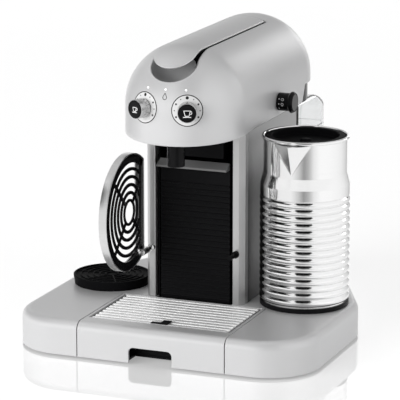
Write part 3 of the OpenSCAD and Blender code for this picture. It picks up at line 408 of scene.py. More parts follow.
def shared_group(name, takes, gives, build):
    """A node group made once: takes and gives are lists of (socket name, kind, default)."""
    if name in bpy.data.node_groups:
        return bpy.data.node_groups[name]
    tree = bpy.data.node_groups.new(name, "ShaderNodeTree")
    for sockets, way in ((takes, "INPUT"), (gives, "OUTPUT")):
        for label, kind, default in sockets:
            socket = tree.interface.new_socket(label, in_out=way, socket_type="NodeSocket" + kind)
            if default is not None:
                socket.default_value = default
    source, sink = tree.nodes.new("NodeGroupInput"), tree.nodes.new("NodeGroupOutput")
    for label, socket in build(tree, source.outputs).items():
        tree.links.new(socket, sink.inputs[label])
    return tree


def noise(tree, place, scale, detail=3.0, rough=0.5):
    """Soft random field about one half over object coordinates."""
    return add(tree, "ShaderNodeTexNoise", {"Vector": place, "Scale": scale, "Detail": detail, "Roughness": rough})


def math_node(tree, operation, a, b):
    """The output of one sum on two values."""
    return add(tree, "ShaderNodeMath", {0: a, 1: b}, operation=operation).outputs[0]


def object_place(tree):
    """Object coordinates, in metres."""
    return add(tree, "ShaderNodeTexCoord").outputs["Object"]


def mixed(tree, factor, first, second):
    """A colour between two others."""
    return add(tree, "ShaderNodeMix", {"Factor": factor, 6: first, 7: second}, data_type="RGBA").outputs[2]


def ranged(tree, value, start=0.0, end=1.0, low=0.0, high=1.0, **settings):
    """A value that runs from low to high while the given one runs from start to end."""
    limits = {"Value": value, "From Min": start, "From Max": end, "To Min": low, "To Max": high}
    return add(tree, "ShaderNodeMapRange", limits, **settings).outputs[0]


def grouped(tree, group, inputs):
    """The outputs of a shared node group."""
    return add(tree, "ShaderNodeGroup", inputs, node_tree=group).outputs


def fine_grain():
    """Moulded or sprayed grain: fine noise for the height, and the same noise narrowed to a shade about one."""

    def build(tree, given):
        field = noise(tree, object_place(tree), given["Scale"], 4.0, 0.6)
        height = math_node(tree, "MULTIPLY", field.outputs["Fac"], given["Depth"])
        return {"Height": height, "Shade": ranged(tree, field.outputs["Fac"], low=0.96, high=1.04)}

    return shared_group("Fine grain", [("Scale", "Float", 2500.0), ("Depth", "Float", 1.0)],
                        [("Height", "Float", None), ("Shade", "Float", None)], build)


def brushed_lines():
    """Brushing: noise over coordinates squeezed along the brush, so that it draws out into long fine lines."""

    def build(tree, given):
        squeezed = add(tree, "ShaderNodeVectorMath", {0: object_place(tree), 1: given["Squeeze"]}, operation="MULTIPLY")
        field = noise(tree, squeezed.outputs[0], 1.0, 3.0, 0.65)
        return {"Height": field.outputs["Fac"], "Shade": ranged(tree, field.outputs["Fac"], low=0.9, high=1.1)}

    return shared_group("Brushed lines", [("Squeeze", "Vector", (3000.0, 3000.0, 60.0))],
                        [("Height", "Float", None), ("Shade", "Float", None)], build)


def handling_marks():
    """Wiped patches: broad noise sharpened with finer noise, spread about the given roughness."""

    def build(tree, given):
        place = object_place(tree)
        broad, fine = noise(tree, place, 22.0, 3.0, 0.55), noise(tree, place, 160.0, 4.0, 0.65)
        both = math_node(tree, "MULTIPLY", broad.outputs["Fac"], fine.outputs["Fac"])
        patch = ranged(tree, both, 0.12, 0.42)
        change = math_node(tree, "MULTIPLY", patch, given["Spread"])
        return {"Roughness": math_node(tree, "ADD", change, given["Roughness"]), "Mask": patch}

    return shared_group("Handling marks", [("Roughness", "Float", 0.3), ("Spread", "Float", 0.08)],
                        [("Roughness", "Float", None), ("Mask", "Float", None)], build)


def settled_dust():
    """Dust: more where the surface looks up, broken by noise, and mixed into the colour as a pale grey."""

    def build(tree, given):
        up = add(tree, "ShaderNodeSeparateXYZ", {0: add(tree, "ShaderNodeNewGeometry").outputs["Normal"]}).outputs[2]
        lying = ranged(tree, up, 0.2)
        patchy = noise(tree, object_place(tree), 90.0, 5.0, 0.7)
        mask = math_node(tree, "MULTIPLY", lying, patchy.outputs["Fac"])
        mask = math_node(tree, "MULTIPLY", mask, given["Amount"])
        return {"Color": mixed(tree, mask, given["Color"], (0.55, 0.54, 0.52, 1)), "Mask": mask}

    return shared_group("Settled dust", [("Color", "Color", (0.5, 0.5, 0.5, 1)), ("Amount", "Float", 0.05)],
                        [("Color", "Color", None), ("Mask", "Float", None)], build)


def shade_of(colour, vary, metallic=0.0, roughness=0.4, **more):
    """One row of the table of finishes."""
    return dict(colour=colour, vary=vary, metallic=metallic, roughness=roughness, **more)


# For each finish: its colour, as a name among the colours a user may change or as a plain value, how far it varies,
# then its shading and surface. grain is (scale per metre, depth), brush is the squeeze of the brushed lines, marks
# the spread of roughness; fade is a painted shade that darkens the foot of a wall, as (lower height, upper height,
# share left at the foot), with the heights in metres. BUMP_DEPTH is the height, in metres, of the grain's bumps at a
# depth of one. SHADE_SPAN is the range of the textures' shade that is spread over the two tones of a finish.
BUMP_DEPTH = 0.0002
SHADE_SPAN = 0.94, 1.06
FINISHES = {
    "silver_paint": shade_of("silver", 0.035, 0.35, 0.38, grain=(5200, 0.05), marks=0.05, dust=0.03),
    "column_panel": shade_of("panel", 0.05, 0.6, 0.32, grain=(4200, 0.02), marks=0.06, fade=(0.145, 0.198, 0.10)),
    "satin_aluminium": shade_of("aluminium", 0.045, 0.9, 0.34, brush=(3500, 3500, 50), marks=0.06),
    "dial_metal": shade_of("aluminium", 0.05, 1.0, 0.24, brush=(1500, 1500, 3000), brush_depth=0.01, marks=0.04),
    "gloss_black": shade_of("black", 0.2, 0.0, 0.18, grain=(900, 0.02), marks=0.05, dust=0.01, ior=1.2),
    "matte_black": shade_of("black", 0.25, 0.0, 0.36, grain=(2600, 0.3), marks=0.08, dust=0.01, ior=1.16),
    "dark_grey": shade_of(0.09, 0.1, 0.0, 0.40, grain=(2600, 0.25), marks=0.08, dust=0.03, specular=0.3),
    "warmer_black": shade_of("black", 0.25, 0.0, 0.42, grain=(2600, 0.3), marks=0.08, ior=1.06),
    "scoop_silver": shade_of("silver", 0.035, 0.55, 0.34, grain=(5200, 0.03), marks=0.03),
    "lip_grey": shade_of(0.15, 0.08, 0.0, 0.30, grain=(2600, 0.15), marks=0.08, dust=0.03),
    "grey_plastic": shade_of("grey", 0.06, 0.0, 0.38, grain=(3000, 0.25), marks=0.06, dust=0.04),
    "scale_white": shade_of("scale", 0.03, 0.1, 0.34, grain=(3800, 0.05), marks=0.04),
    "rubber": shade_of(0.02, 0.25, 0.0, 0.75, grain=(1800, 0.5), marks=0.1, dust=0.08, specular=0.2),
    "polished_steel": shade_of("steel", 0.02, 1.0, 0.10, brush=(40, 40, 2600), brush_depth=0.01, marks=0.05),
    "rim_steel": shade_of(0.74, 0.05, 1.0, 0.28, brush=(60, 60, 900), brush_depth=0.03, marks=0.06),
    "bar_steel": shade_of(0.95, 0.03, 0.30, 0.26, brush=(40, 2800, 2800), brush_depth=0.004, marks=0.03),
    "inner_metal": shade_of(0.46, 0.09, 0.9, 0.42, grain=(1500, 0.3), marks=0.1),
    "heater_element": shade_of(0.33, 0.09, 0.8, 0.45, grain=(1200, 0.3), marks=0.1),
    "hose": shade_of(0.58, 0.06, 0.0, 0.38, grain=(2000, 0.1), marks=0.08),
    "board_green": shade_of((0.015, 0.135, 0.06), 0.2, 0.0, 0.35, grain=(700, 0.2), marks=0.08),
    "print_white": shade_of(0.84, 0.02, 0.0, 0.45, grain=(4000, 0.03), marks=0.03),
    "print_black": shade_of(0.012, 0.2, 0.0, 0.40, grain=(4000, 0.03), marks=0.03, specular=0.2),
    "print_grey": shade_of(0.10, 0.08, 0.0, 0.45, grain=(4000, 0.03), marks=0.03, specular=0.3),
    # Near-black of the plate over the spout's mouth: painted shade.
    "jug_mouth_painted_shade": shade_of(0.006, 0.3, 0.0, 0.55, grain=(1500, 0.1), marks=0.05, specular=0.1),
}


def tones(row):
    """The darker and the lighter colour of a finish."""
    value = row["colour"]
    if isinstance(value, str):
        value = getattr(bpy.context.scene.coffee_colours, value)
    base = np.broadcast_to(np.array(value, float), 3)
    return [(*(base * (1 + step)).tolist(), 1.0) for step in (-row["vary"], row["vary"])]


def finish(name):
    """The material of a finish, made once: colour between two tones, marks in its roughness, grain or brushing
    in its height."""
    if name in bpy.data.materials and "finish" in bpy.data.materials[name]:
        return bpy.data.materials[name]
    material, tree = node_material(name)
    material["finish"] = 1
    if name == "clear_plastic":
        clear_finish(tree)
    elif name == "lamp_white":
        lamp_finish(tree)
    else:
        solid_finish(tree, FINISHES[name])
    return material


def solid_finish(tree, row):
    """A row of the table of finishes as shader nodes."""
    if "brush" in row:
        texture, strength = grouped(tree, brushed_lines(), {"Squeeze": row["brush"]}), row.get("brush_depth", 0.05)
    else:
        texture, strength = grouped(tree, fine_grain(), {"Scale": row["grain"][0]}), row["grain"][1]
    colour = mixed(tree, ranged(tree, texture["Shade"], *SHADE_SPAN), *tones(row))
    # Painted shade: the colour is darkened towards the foot of the wall, by height alone.
    if "fade" in row:
        height = add(tree, "ShaderNodeSeparateXYZ", {0: object_place(tree)}).outputs[2]
        level = ranged(tree, height, *row["fade"], interpolation_type="SMOOTHSTEP")
        colour = add(tree, "ShaderNodeVectorMath", {0: colour, 1: level}, operation="MULTIPLY").outputs[0]
    marks = grouped(tree, handling_marks(), {"Roughness": row["roughness"], "Spread": row["marks"]})
    if row.get("dust"):
        colour = grouped(tree, settled_dust(), {"Color": colour, "Amount": row["dust"]})["Color"]
    bump = add(tree, "ShaderNodeBump", {"Height": texture["Height"], "Strength": strength, "Distance": BUMP_DEPTH})
    feed(tree, tree.nodes["Principled BSDF"],
         {"Metallic": row["metallic"], "Roughness": marks["Roughness"], "Base Color": colour,
          "Normal": bump.outputs[0], "Specular IOR Level": row.get("specular", 0.5), "IOR": row.get("ior", 1.5)})


def clear_finish(tree):
    """Clear moulded plastic: faint waviness and wiped marks over a transmitting body, which is tinted grey where
    the surface is seen at a low angle, as a thick edge is."""
    marks = grouped(tree, handling_marks(), {"Roughness": 0.02, "Spread": 0.04})
    tint = mixed(tree, marks["Mask"], (0.985, 0.99, 0.99, 1), (0.96, 0.97, 0.975, 1))
    edge = add(tree, "ShaderNodeLayerWeight", {"Blend": 0.5})
    body = mixed(tree, math_node(tree, "POWER", edge.outputs["Facing"], 2.5), tint, (0.14, 0.15, 0.16, 1))
    ripple = grouped(tree, fine_grain(), {"Scale": 60.0})
    bump = add(tree, "ShaderNodeBump", {"Height": ripple["Height"], "Strength": 0.02, "Distance": 0.001})
    feed(tree, tree.nodes["Principled BSDF"],
         {"Transmission Weight": 1.0, "IOR": 1.46, "Roughness": marks["Roughness"], "Base Color": body,
          "Normal": bump.outputs[0]})


def lamp_finish(tree):
    """A small lit window: a pale diffuser that glows most where its own grain is lightest."""
    grain = grouped(tree, fine_grain(), {"Scale": 3000.0})
    colour = mixed(tree, ranged(tree, grain["Shade"], *SHADE_SPAN), (0.9, 0.92, 0.95, 1), (1, 1, 1, 1))
    feed(tree, tree.nodes["Principled BSDF"],
         {"Base Color": colour, "Emission Color": colour, "Emission Strength": 0.5, "Roughness": 0.3})


# ---------------------------------------------------------------- sizes a user may change

def length(name, description, millimetres):
    """A length that a user may change, kept in metres."""
    return FloatProperty(name=name, description=description, default=millimetres * MM, min=0.0, unit="LENGTH",
                         precision=4)


def degrees(name, description, value):
    """An angle that a user may change, kept in radians."""
    return FloatProperty(name=name, description=description, default=math.radians(value), unit="ROTATION")


def colour(name, description, value):
    """A colour that a user may change."""
    return FloatVectorProperty(name=name, description=description, default=value, size=3, min=0.0, max=1.0,
                               subtype="COLOR")


class CoffeeHeadSizes(PropertyGroup):
    scoop_r: length("Scoop", "Radius of the finger scoop under the lever's tip", 23.2)
    scoop_depth: length("Scoop depth", "Depth of the scoop's bowl under its rim", 16.5)
    scoop_tilt: degrees("Scoop tilt", "How far the scoop looks forwards from straight up", 37.27)
    channel_half_w: length("Channel", "Half the width of the channel that the lever lies in", 22.2)
    channel_depth: length("Channel depth", "How far the channel's floor lies below the head's surface", 9)
    well_r: length("Hinge well", "Radius of the round well under the lever's hinge", 14.2)
    rim: length("Rim", "Round of the edge of the opening", 1.8)
    skirt_edge: length("Skirt edge", "Round of the lower edge", 0.8)
    wall: length("Wall", "Thickness of the shell", 3)
    deck_step: length("Deck step", "How far the skirt ends above the lower face of the head's floor", 2)
    tank_gap: length("Tank gap", "Room between the raised part of the skirt and the water tank's front", 6)
    rear_run: length("Rear run", "Length over which the skirt rises to clear the tank", 8)
    rear_rise: length("Rear rise", "How much higher the skirt is over the water tank", 18)


class CoffeeLeverSizes(PropertyGroup):
    forward: length("Forward", "How far the round of the lever's tip lies ahead of the head's", 10)
    thickness: length("Thickness", "Thickness of the cover", 3.5)
    edge: length("Edge", "Round of the cover's edge", 1.5)
    undercut: length("Undercut", "How far the lower edge lies inside the upper one", 2.8)
    inset: length("Inset", "How far the cover's outline lies inside the lever's whole width", 0.6)
    tip_back: length("Tip", "How far the cover's tip lies behind the lever's foremost point", 1.6)
    rear_corner: length("Rear corners", "Round of the cover's rear corners in plan", 2)


class CoffeeBaseSizes(PropertyGroup):
    edge: length("Edge", "Round of the upper edge", 9)
    wall: length("Wall", "Thickness of the shell", 2.5)
    front_corner: length("Front corners", "Radius of the front corners in plan", 54.6)
    side_corner: length("Side turns", "Radius where the sides turn in to the rear", 60)
    rear_corner: length("Rear corners", "Radius of the rear corners in plan", 22)
    rear_half_w: length("Rear", "Half the width of the rear before its corners are rounded", 60)
    side_turn: length("Side turn", "How far behind the front the sides turn in", 176)
    seam: length("Seam", "Round of the edges along the seams", 0.5)
    notch_w: length("Grip", "Width of the finger notch in the drawer", 46)
    notch_h: length("Grip height", "Height of the finger notch", 15.5)
    notch_r: length("Grip corners", "Round of the notch's corners", 5)
    seam_gap: length("Seam gap", "How much narrower the drawer's cover is on each side than its solid", 0.35)
    opening_half_w: length("Grid opening", "Half the width of the opening for the drip grid", 75.4)


class CoffeeGridSizes(PropertyGroup):
    bars: IntProperty(name="Bars", description="Number of bars", default=11, min=2)
    bar_w: length("Bar", "Width of a bar", 4.6)
    end_gap: length("Bar ends", "Gap between the bars' ends and the opening", 1.6)
    edge: length("Edge", "Round of a bar's edges", 0.8)


class CoffeeJugSizes(PropertyGroup):
    ribs: IntProperty(name="Ribs", description="Number of ribs", default=15, min=1)
    rib_low: length("Lowest rib", "Height of the ribbed part's lower end", 44.5)
    rib_top: length("Highest rib", "Height of the ribbed part's upper end", 152.5)
    rib_r: length("Rib", "Radius of a rib's section", 4)
    valley: length("Valley", "Depth of the valleys between the ribs", 1.7)
    band_h: length("Band", "Height of the smooth band over the ribs", 11.4)
    shoulder_h: length("Shoulder", "Height of the slope from band to neck", 12)
    neck_step: length("Neck", "How much narrower the neck is than the ribs", 3.5)
    wall: length("Wall", "Thickness of the wall", 1.6)
    lip_r: length("Lip", "Radius of the rolled lip", 1.7)
    spout_reach: length("Spout", "How far the spout stands out of the neck", 10.6)
    spout_half_w: length("Spout width", "Half the width of the spout at its top", 19)


class CoffeeDialSizes(PropertyGroup):
    angle: degrees("Angle", "How far the dials look to the sides", 21.5)
    ring_d: length("Scale", "Diameter of the scale ring", 32)
    dots: IntProperty(name="Dots", description="Number of dots on each scale", default=12, min=1)
    dot_r: length("Dots", "Radius of a dot", 0.7)
    print_t: length("Print", "How far printed marks stand proud of their surface", 0.06)
    lamp_turn: degrees("Lamps", "Angle between two lamps about the head's front", 20.4)


class CoffeeSupportSizes(PropertyGroup):
    radius: length("Rim", "Radius of the folding cup support", 60)
    chord: length("Chord", "How far the straight side lies from the middle", 36)
    rim_t: length("Rim wall", "Thickness of the rim band", 1.3)
    plate_t: length("Plate", "Thickness of the slotted plate", 1.6)
    hole_r: length("Hole", "Radius of the hole in the middle", 10.8)
    first_slot: length("First slot", "Radius at which the first slot begins", 13.8)
    slot_w: length("Slot", "Width of a slot", 4.5)
    slot_pitch: length("Slot pitch", "Distance from one slot to the next", 8)
    slots: IntProperty(name="Slots", description="Number of curved slots", default=5, min=1)
    spoke_w: length("Spokes", "Width of the spokes", 4)
    band_w: length("Band", "Width of the solid band along the straight side", 10.6)


class CoffeeTankSizes(PropertyGroup):
    wall: length("Wall", "Thickness of the clear walls", 3.8)
    front_corner: length("Front corners", "Round of the front corners in plan", 4)
    rear_corner: length("Rear corners", "Round of the rear corners in plan", 15)
    shoulder: length("Shoulder", "Round of the lid down to the rear", 46)
    drop: length("Drop", "Height that the lid falls over its rear round", 31.5)
    roof_edge: length("Roof edge", "Round of the lid's long upper edges", 5)


class CoffeeColours(PropertyGroup):
    silver: colour("Silver", "Paint of the head, lever and base", (0.62, 0.62, 0.625))
    panel: colour("Side panels", "Sides of the column", (0.36, 0.36, 0.362))
    aluminium: colour("Aluminium", "Pillars and dials", (0.56, 0.56, 0.56))
    steel: colour("Steel", "Milk jug", (0.88, 0.88, 0.88))
    black: colour("Black", "Black plastic", (0.005, 0.005, 0.0055))
    grey: colour("Grey", "Grey plastic", (0.32, 0.32, 0.325))
    scale: colour("Scales", "Rings round the dials", (0.70, 0.70, 0.70))


class CoffeeStageSizes(PropertyGroup):
    key_power: FloatProperty(name="Key lamp", description="Power of the soft lamp in front", default=78.0, min=0.0,
                             unit="POWER")
    side_power: FloatProperty(name="Side lamp", description="Power of the soft lamp at the right", default=15.0,
                              min=0.0, unit="POWER")
    world: FloatProperty(name="Surroundings", description="Strength of the pale surroundings", default=0.24, min=0.0)
    floor_colour: colour("Floor", "Colour of the floor", (0.86, 0.86, 0.86))
    azimuth: degrees("Azimuth", "Turn of the camera from the front to the right", 21.81)
    elevation: degrees("Elevation", "Height of the camera above the level", 13.52)


# ---------------------------------------------------------------- head

# How far under the head's surface the walls of the channel and the bowl of the scoop begin.
CHANNEL_START, BOWL_START = 2.4, 2.2
# How far the opening's wall goes down behind its rounded rim.
LIP_DEPTH = 1.5


class Scoop:
    """The finger scoop's place on the head: its rim is a circle on the dome about a line from the dome's front that
    looks up and forwards, its bowl is half of a flattened ball, and the channel's sides meet it at an angle from the
    rim's rear."""

    def __init__(self, dome, size):
        tilt, self.radius, self.bowl = size.scoop_tilt, size.scoop_r, size.scoop_depth
        self.out = np.array([0, -math.sin(tilt), math.cos(tilt)])
        self.rise = np.array([0, math.cos(tilt), math.sin(tilt)])
        self.depth = math.sqrt(dome.radius**2 - self.radius**2)
        self.middle = dome.front + self.depth * self.out
        self.meet = math.asin(size.channel_half_w / self.radius)

    def around(self, turn):
        """Directions from the rim's middle to the rim, for angles from its rear."""
        return np.sin(turn)[:, None] * np.array([1.0, 0, 0]) + np.cos(turn)[:, None] * self.rise


def opening_loop(dome, size):
    """The edge of the opening in the head, as a closed loop on the dome, with the direction of its wall at each
    point. Its right half runs round the scoop's circle, back along the channel's side and across the rear, where
    the well's cylinder about the hinge meets the dome; its left half mirrors it."""
    place = Scoop(dome, size)
    scoop = place.middle + place.radius * place.around(np.linspace(math.pi, place.meet, 70))
    hinge_y, hinge_z = middle_of("lever_pin")[1:]

    def rear_y(x):
        """Where the well's cylinder comes out of the dome."""
        height = dome.axis_z + np.sqrt(dome.radius**2 - x**2) - hinge_z
        return hinge_y + np.sqrt(size.well_r**2 - height**2)

    edge = np.array(size.channel_half_w)
    back = dome.lift(edge, np.linspace(scoop[-1, 1], rear_y(edge), 120)[1:])
    x = np.linspace(size.channel_half_w, 0, 26)[1:]
    rear = dome.lift(x, rear_y(x))
    half = np.concatenate([scoop, back, rear])
    wall = np.concatenate([np.tile(-place.out, (len(scoop), 1)), np.tile([0, 0, -1.0], (len(back) + len(rear), 1))])
    loop = np.concatenate([half, half[-2:0:-1] * [-1, 1, 1]])
    wall = np.concatenate([wall, wall[-2:0:-1]])
    for _ in range(3):
        loop, wall = [0.5 * line + 0.25 * (np.roll(line, 1, 0) + np.roll(line, -1, 0)) for line in (loop, wall)]
    return dome.project(loop), unit(wall), (len(scoop), len(back), len(rear))


def equator_loop(dome, counts):
    """The dome's widest outline, with as many points as the opening's loop and matched to them: a quarter round
    to the scoop, the straight side to the channel and a quarter round to the rear edge."""
    scoop, back, rear = counts
    turn = np.linspace(0, math.pi / 2, scoop)
    front = np.stack([np.sin(turn), -np.cos(turn)], 1) * dome.radius + [0, dome.front_y]
    side = np.linspace(dome.front_y, dome.rear_y, back + 1)[1:]
    straight = np.stack([np.full(back, dome.radius), side], 1)
    turn = np.linspace(0, math.pi / 2, rear + 1)[1:]
    end = np.stack([np.cos(turn), np.sin(turn)], 1) * dome.radius + [0, dome.rear_y]
    half = np.concatenate([front, straight, end])
    return np.concatenate([half, half[-2:0:-1] * [-1, 1]])


def head_surface(size):
    """The head's skin: from the wall of the opening over its rounded rim, then over the dome along straight lines
    between opening and widest outline pushed out on to the dome, down the skirt, and in under its rounded edge."""
    dome = head_dome()
    rim, wall, counts = opening_loop(dome, size)
    tangent = unit(np.roll(rim, -1, 0) - np.roll(rim, 1, 0))
    along = np.cross(tangent, dome.normal(rim))
    along *= np.sign((along * (rim - rim.mean(0))).sum())
    arcs = arc_rows(rim, unit(along), wall, size.rim, 6)
    plan = equator_loop(dome, counts)
    widest = np.concatenate([plan, np.full((len(plan), 1), dome.axis_z)], 1)
    share = np.linspace(0, 1, 30)[None, 1:, None]
    over = dome.project(arcs[:, :1] * (1 - share) + widest[:, None] * share)
    front, over_column = BOX["head_shell"][0], BOX["head_underside"][0][2] + size.deck_step
    tank_y = BOX["water_tank"][0][1] - size.tank_gap
    low = np.interp(plan[:, 1], [front[1], BOX["brew_unit"][0][1], tank_y - size.rear_run, tank_y],
                    [front[2], over_column, over_column, over_column + size.rear_rise])[:, None]
    drop = np.linspace(0, 1, 8)[None, 1:]
    down = dome.axis_z + (low + size.skirt_edge - dome.axis_z) * drop
    skirt = np.concatenate([np.broadcast_to(plan[:, None], (*down.shape, 2)), down[..., None]], -1)
    inset = np.array([0.3 * size.skirt_edge, size.skirt_edge, size.wall, size.wall])
    fall = np.array([-0.7, -1.0, -1.0, 8.0]) * size.skirt_edge
    turn_in = plan[:, None] - outward(plan)[:, None] * inset[None, :, None]
    under = np.concatenate([turn_in, (low + size.skirt_edge + fall)[..., None]], -1)
    lip = arcs[:, -1:] + wall[:, None] * LIP_DEPTH
    return grid(np.concatenate([lip, arcs[:, ::-1], over, skirt, under], 1), close_u=True)


def floor_cut(dome, place, channel_depth):
    """The dive, in radians from the rim, at which the bowl meets the channel's floor: where the bowl's distance from
    the head's front is the floor's radius, which is a square equation for the sine of the dive."""
    depth = place.depth * place.bowl
    drop = dome.radius**2 - (dome.radius - channel_depth) ** 2
    flat = place.radius**2 - place.bowl**2
    return math.asin((math.sqrt(depth**2 + flat * drop) - depth) / flat)


def scoop_surface(size):
    """The bowl of the scoop: half of a flattened ball about the middle of its rim. It begins just under the rim, or
    where the channel's floor cuts it, and closes at its deepest point."""
    dome = head_dome()
    place = Scoop(dome, size)
    at_channel, free = 40, 100
    turn = np.concatenate([np.linspace(-place.meet, place.meet, at_channel),
                           np.linspace(place.meet, 2 * math.pi - place.meet, free)])
    begin = np.repeat([floor_cut(dome, place, size.channel_depth), BOWL_START / place.bowl], (at_channel, free))
    dive = (begin[:, None] + (math.pi / 2 - begin[:, None]) * np.linspace(0, 1, 26)[None])[..., None]
    ring = place.around(turn)[:, None]
    return grid(place.middle + (place.radius * np.cos(dive) * ring - place.bowl * np.sin(dive) * place.out),
                close_u=True)


def channel_surface(size):
    """The channel under the lever: across it run its two side walls and its floor, which follows a smaller dome.
    Along it the floor begins on the scoop's bowl and ends in the round well about the hinge."""
    dome = head_dome()
    place = Scoop(dome, size)
    floor = dome.radius - size.channel_depth
    cut = floor_cut(dome, place, size.channel_depth)
    hinge_y, hinge_z = middle_of("lever_pin")[1:]
    turn = np.linspace(-place.meet, place.meet, 33)
    first = place.middle + place.radius * math.cos(cut) * place.around(turn) - place.bowl * math.sin(cut) * place.out
    x = place.radius * np.sin(turn)
    level = dome.axis_z + np.sqrt(floor**2 - x**2)
    dip = np.arccos((hinge_z - level) / size.well_r)
    crest = dome.axis_z + np.sqrt(dome.radius**2 - x**2) - CHANNEL_START
    climb = np.arccos((hinge_z - crest) / size.well_r)
    rows, bend = 90, 6
    along = np.linspace(0, 1, rows)[None]
    y = first[:, 1:2] + (hinge_y - size.well_r * np.sin(dip)[:, None] - first[:, 1:2]) * along
    bent = x[:, None] + (first[:, :1] - x[:, None]) * (1 - along) ** bend
    run = dome.lift(bent, y, floor)
    sweep = -dip[:, None] + (climb + dip)[:, None] * np.linspace(0, 1, 30)[None, 1:]
    well = spread(x[:, None], hinge_y + size.well_r * np.sin(sweep), hinge_z - size.well_r * np.cos(sweep))
    bottom = np.concatenate([run, well], 1)

    def side_wall(edge, sign):
        """Lines from the floor's edge up to just under the rim."""
        top = edge.copy()
        top[:, 0] = sign * size.channel_half_w
        share = np.clip(1 - np.arange(len(edge)) / (rows - 1), 0, 1) ** bend
        top[:, 1] += (place.middle[1] + place.radius * math.cos(place.meet) * place.rise[1] - edge[0, 1]) * share
        top[:, 2] = np.maximum(dome.lift(top[:, 0], top[:, 1])[:, 2] - CHANNEL_START, edge[:, 2])
        share = np.linspace(1, 0, 4)[:-1, None, None]
        return edge + (top - edge) * share

    return grid(np.concatenate([side_wall(bottom[0], -1), bottom, side_wall(bottom[-1], 1)[::-1]]))


# ---------------------------------------------------------------- lever

def lever_surface(size):
    """The lever's cover: its tongue-shaped outline is drawn in towards a line along its middle, and every point is
    lifted on to its own dome, whose round begins further forward than the head's. A rounded edge and a slanting wall
    join the upper face to the lower one, which lies a wall's thickness deeper."""
    head = head_dome()
    dome = Dome(head.radius, head.front_y - size.forward, head.rear_y, head.axis_z)
    low, high = BOX["lever_cover"]
    half, tip = high[0] - size.inset, low[1] + size.tip_back
    plan = outline(rectangle(-half, tip, half, high[1]), [half, half, size.rear_corner, size.rear_corner], 40)
    plan = densified(plan, 3.0)
    edge = dome.lift(plan[:, 0], plan[:, 1])
    tangent = unit(np.roll(edge, -1, 0) - np.roll(edge, 1, 0))
    inner = np.cross(dome.normal(edge), tangent)
    down = np.tile([0, 0, -1.0], (len(edge), 1))
    arcs = arc_rows(edge, unit(inner), down, size.edge, 6)

    def face(rim, radius):
        spine_y = np.clip(rim[:, 1], tip + half, high[1] - half)
        share = np.linspace(0, 1, 12)[None, 1:]
        x = rim[:, :1] * (1 - share)
        return dome.lift(x, rim[:, 1:2] * (1 - share) + spine_y[:, None] * share, radius)

    deep = dome.radius - size.thickness
    under = plan - outward(plan) * size.undercut
    lower = dome.lift(under[:, 0], under[:, 1], deep)[:, None]
    rows = [face(arcs[:, 0], dome.radius)[:, ::-1], arcs, lower, face(lower[:, 0], deep)]
    return grid(np.concatenate(rows, 1), close_u=True)


# ---------------------------------------------------------------- base, drawer and grid

# Points of the round at each corner of the base's outline.
CORNER_STEPS = 28
# Length of the first strip of the flat faces beside the base's edge round.
EDGE_STRIP = 0.6
# Gap between the drawer's cover and its bay, and between the drip grid and its opening.
GAP = 0.4


def base_plan(size, inset):
    """The base's outline drawn in by an inset: a wide front with round corners, sides that turn in to a narrower
    rear. The two turns keep their distance from every side."""
    low, high = BOX["base_shell"]
    turn_y = low[1] + size.side_turn
    run = unit(np.array([size.rear_half_w - high[0], high[1] - turn_y]))
    turn_in = turn_y + inset * (1 - run[1]) / run[0]
    rear_in = size.rear_half_w - inset * (1 + run[0]) / run[1]
    corners = [(low[0] + inset, low[1] + inset), (high[0] - inset, low[1] + inset), (high[0] - inset, turn_in),
               (rear_in, high[1] - inset), (-rear_in, high[1] - inset), (low[0] + inset, turn_in)]
    radii = np.array([size.front_corner, size.front_corner, size.side_corner, size.rear_corner, size.rear_corner,
                      size.side_corner]) - inset
    return outline(corners, radii, CORNER_STEPS)


def edge_profile(size, low, high):
    """The shell's section as rows (inset, height): a straight side, a quarter round and a first strip of the top."""
    inset, drop = quarter(size.edge, 12)
    return np.concatenate([[(0, low), (0, high - size.edge - EDGE_STRIP)], spread(inset, high - drop),
                           [(size.edge + EDGE_STRIP, high)]])


def open_front(plan, half_w):
    """The outline from the bay's right side round the machine to its left side. The outline starts with the arc of
    the left front corner, which is moved to the end."""
    rolled = np.roll(plan, -CORNER_STEPS, 0)
    return np.concatenate([[(half_w, rolled[0, 1])], rolled, [(-half_w, rolled[-1, 1])]])


def base_surface(size):
    """The base's skin, open at the drawer bay: the outline carried up the section, a flat top that runs round the
    bay and the container's place behind it, and the walls of both."""
    low, high = BOX["base_shell"]
    bay, bay_back = BOX["drawer_cover"][1][:2] + GAP
    liner_low, liner_high = BOX["bay_liner"]
    rows = edge_profile(size, low[2], high[2])
    loops = np.stack([open_front(base_plan(size, inset), bay) for inset in rows[:, 0]], 1)
    skin = spread(loops[..., 0], loops[..., 1], rows[None, :, 1])
    pocket = np.array([(-bay, bay_back), (liner_low[0], bay_back), (liner_low[0], liner_high[1]),
                       (liner_high[0], liner_high[1]), (liner_high[0], bay_back), (bay, bay_back)])
    pocket_floor = low[2] + 2.4
    walls = spread(pocket[:, :1], pocket[:, 1:], np.array([[high[2], pocket_floor]]))
    ends = [plate(np.concatenate([column, [(x, bay_back, high[2]), (x, bay_back, low[2])]]))
            for column, x in ((skin[0], bay), (skin[-1], -bay))]
    return joined(grid(skin), plate(np.concatenate([skin[:, -1], walls[:, 0]])), *ends, grid(walls))


def bay_shade(size):
    """Black plates over the drawer bay's two side walls below the rounded edges of the seam, a painted shade for the
    gap
    beside the drawer: the base's section, set inwards.
    """
    low, high = BOX["base_shell"]
    bay, back = BOX["drawer_cover"][1][:2] + (0.35, 0.3)
    under = 0.9
    rows = edge_profile(size, low[2], high[2] - under)
    section = np.concatenate([rows + [low[1] + under, 0], [(back, high[2] - under), (back, low[2])]])
    return joined(*[plate(spread(x, section[:, 0], section[:, 1])) for x in (-bay, bay)])


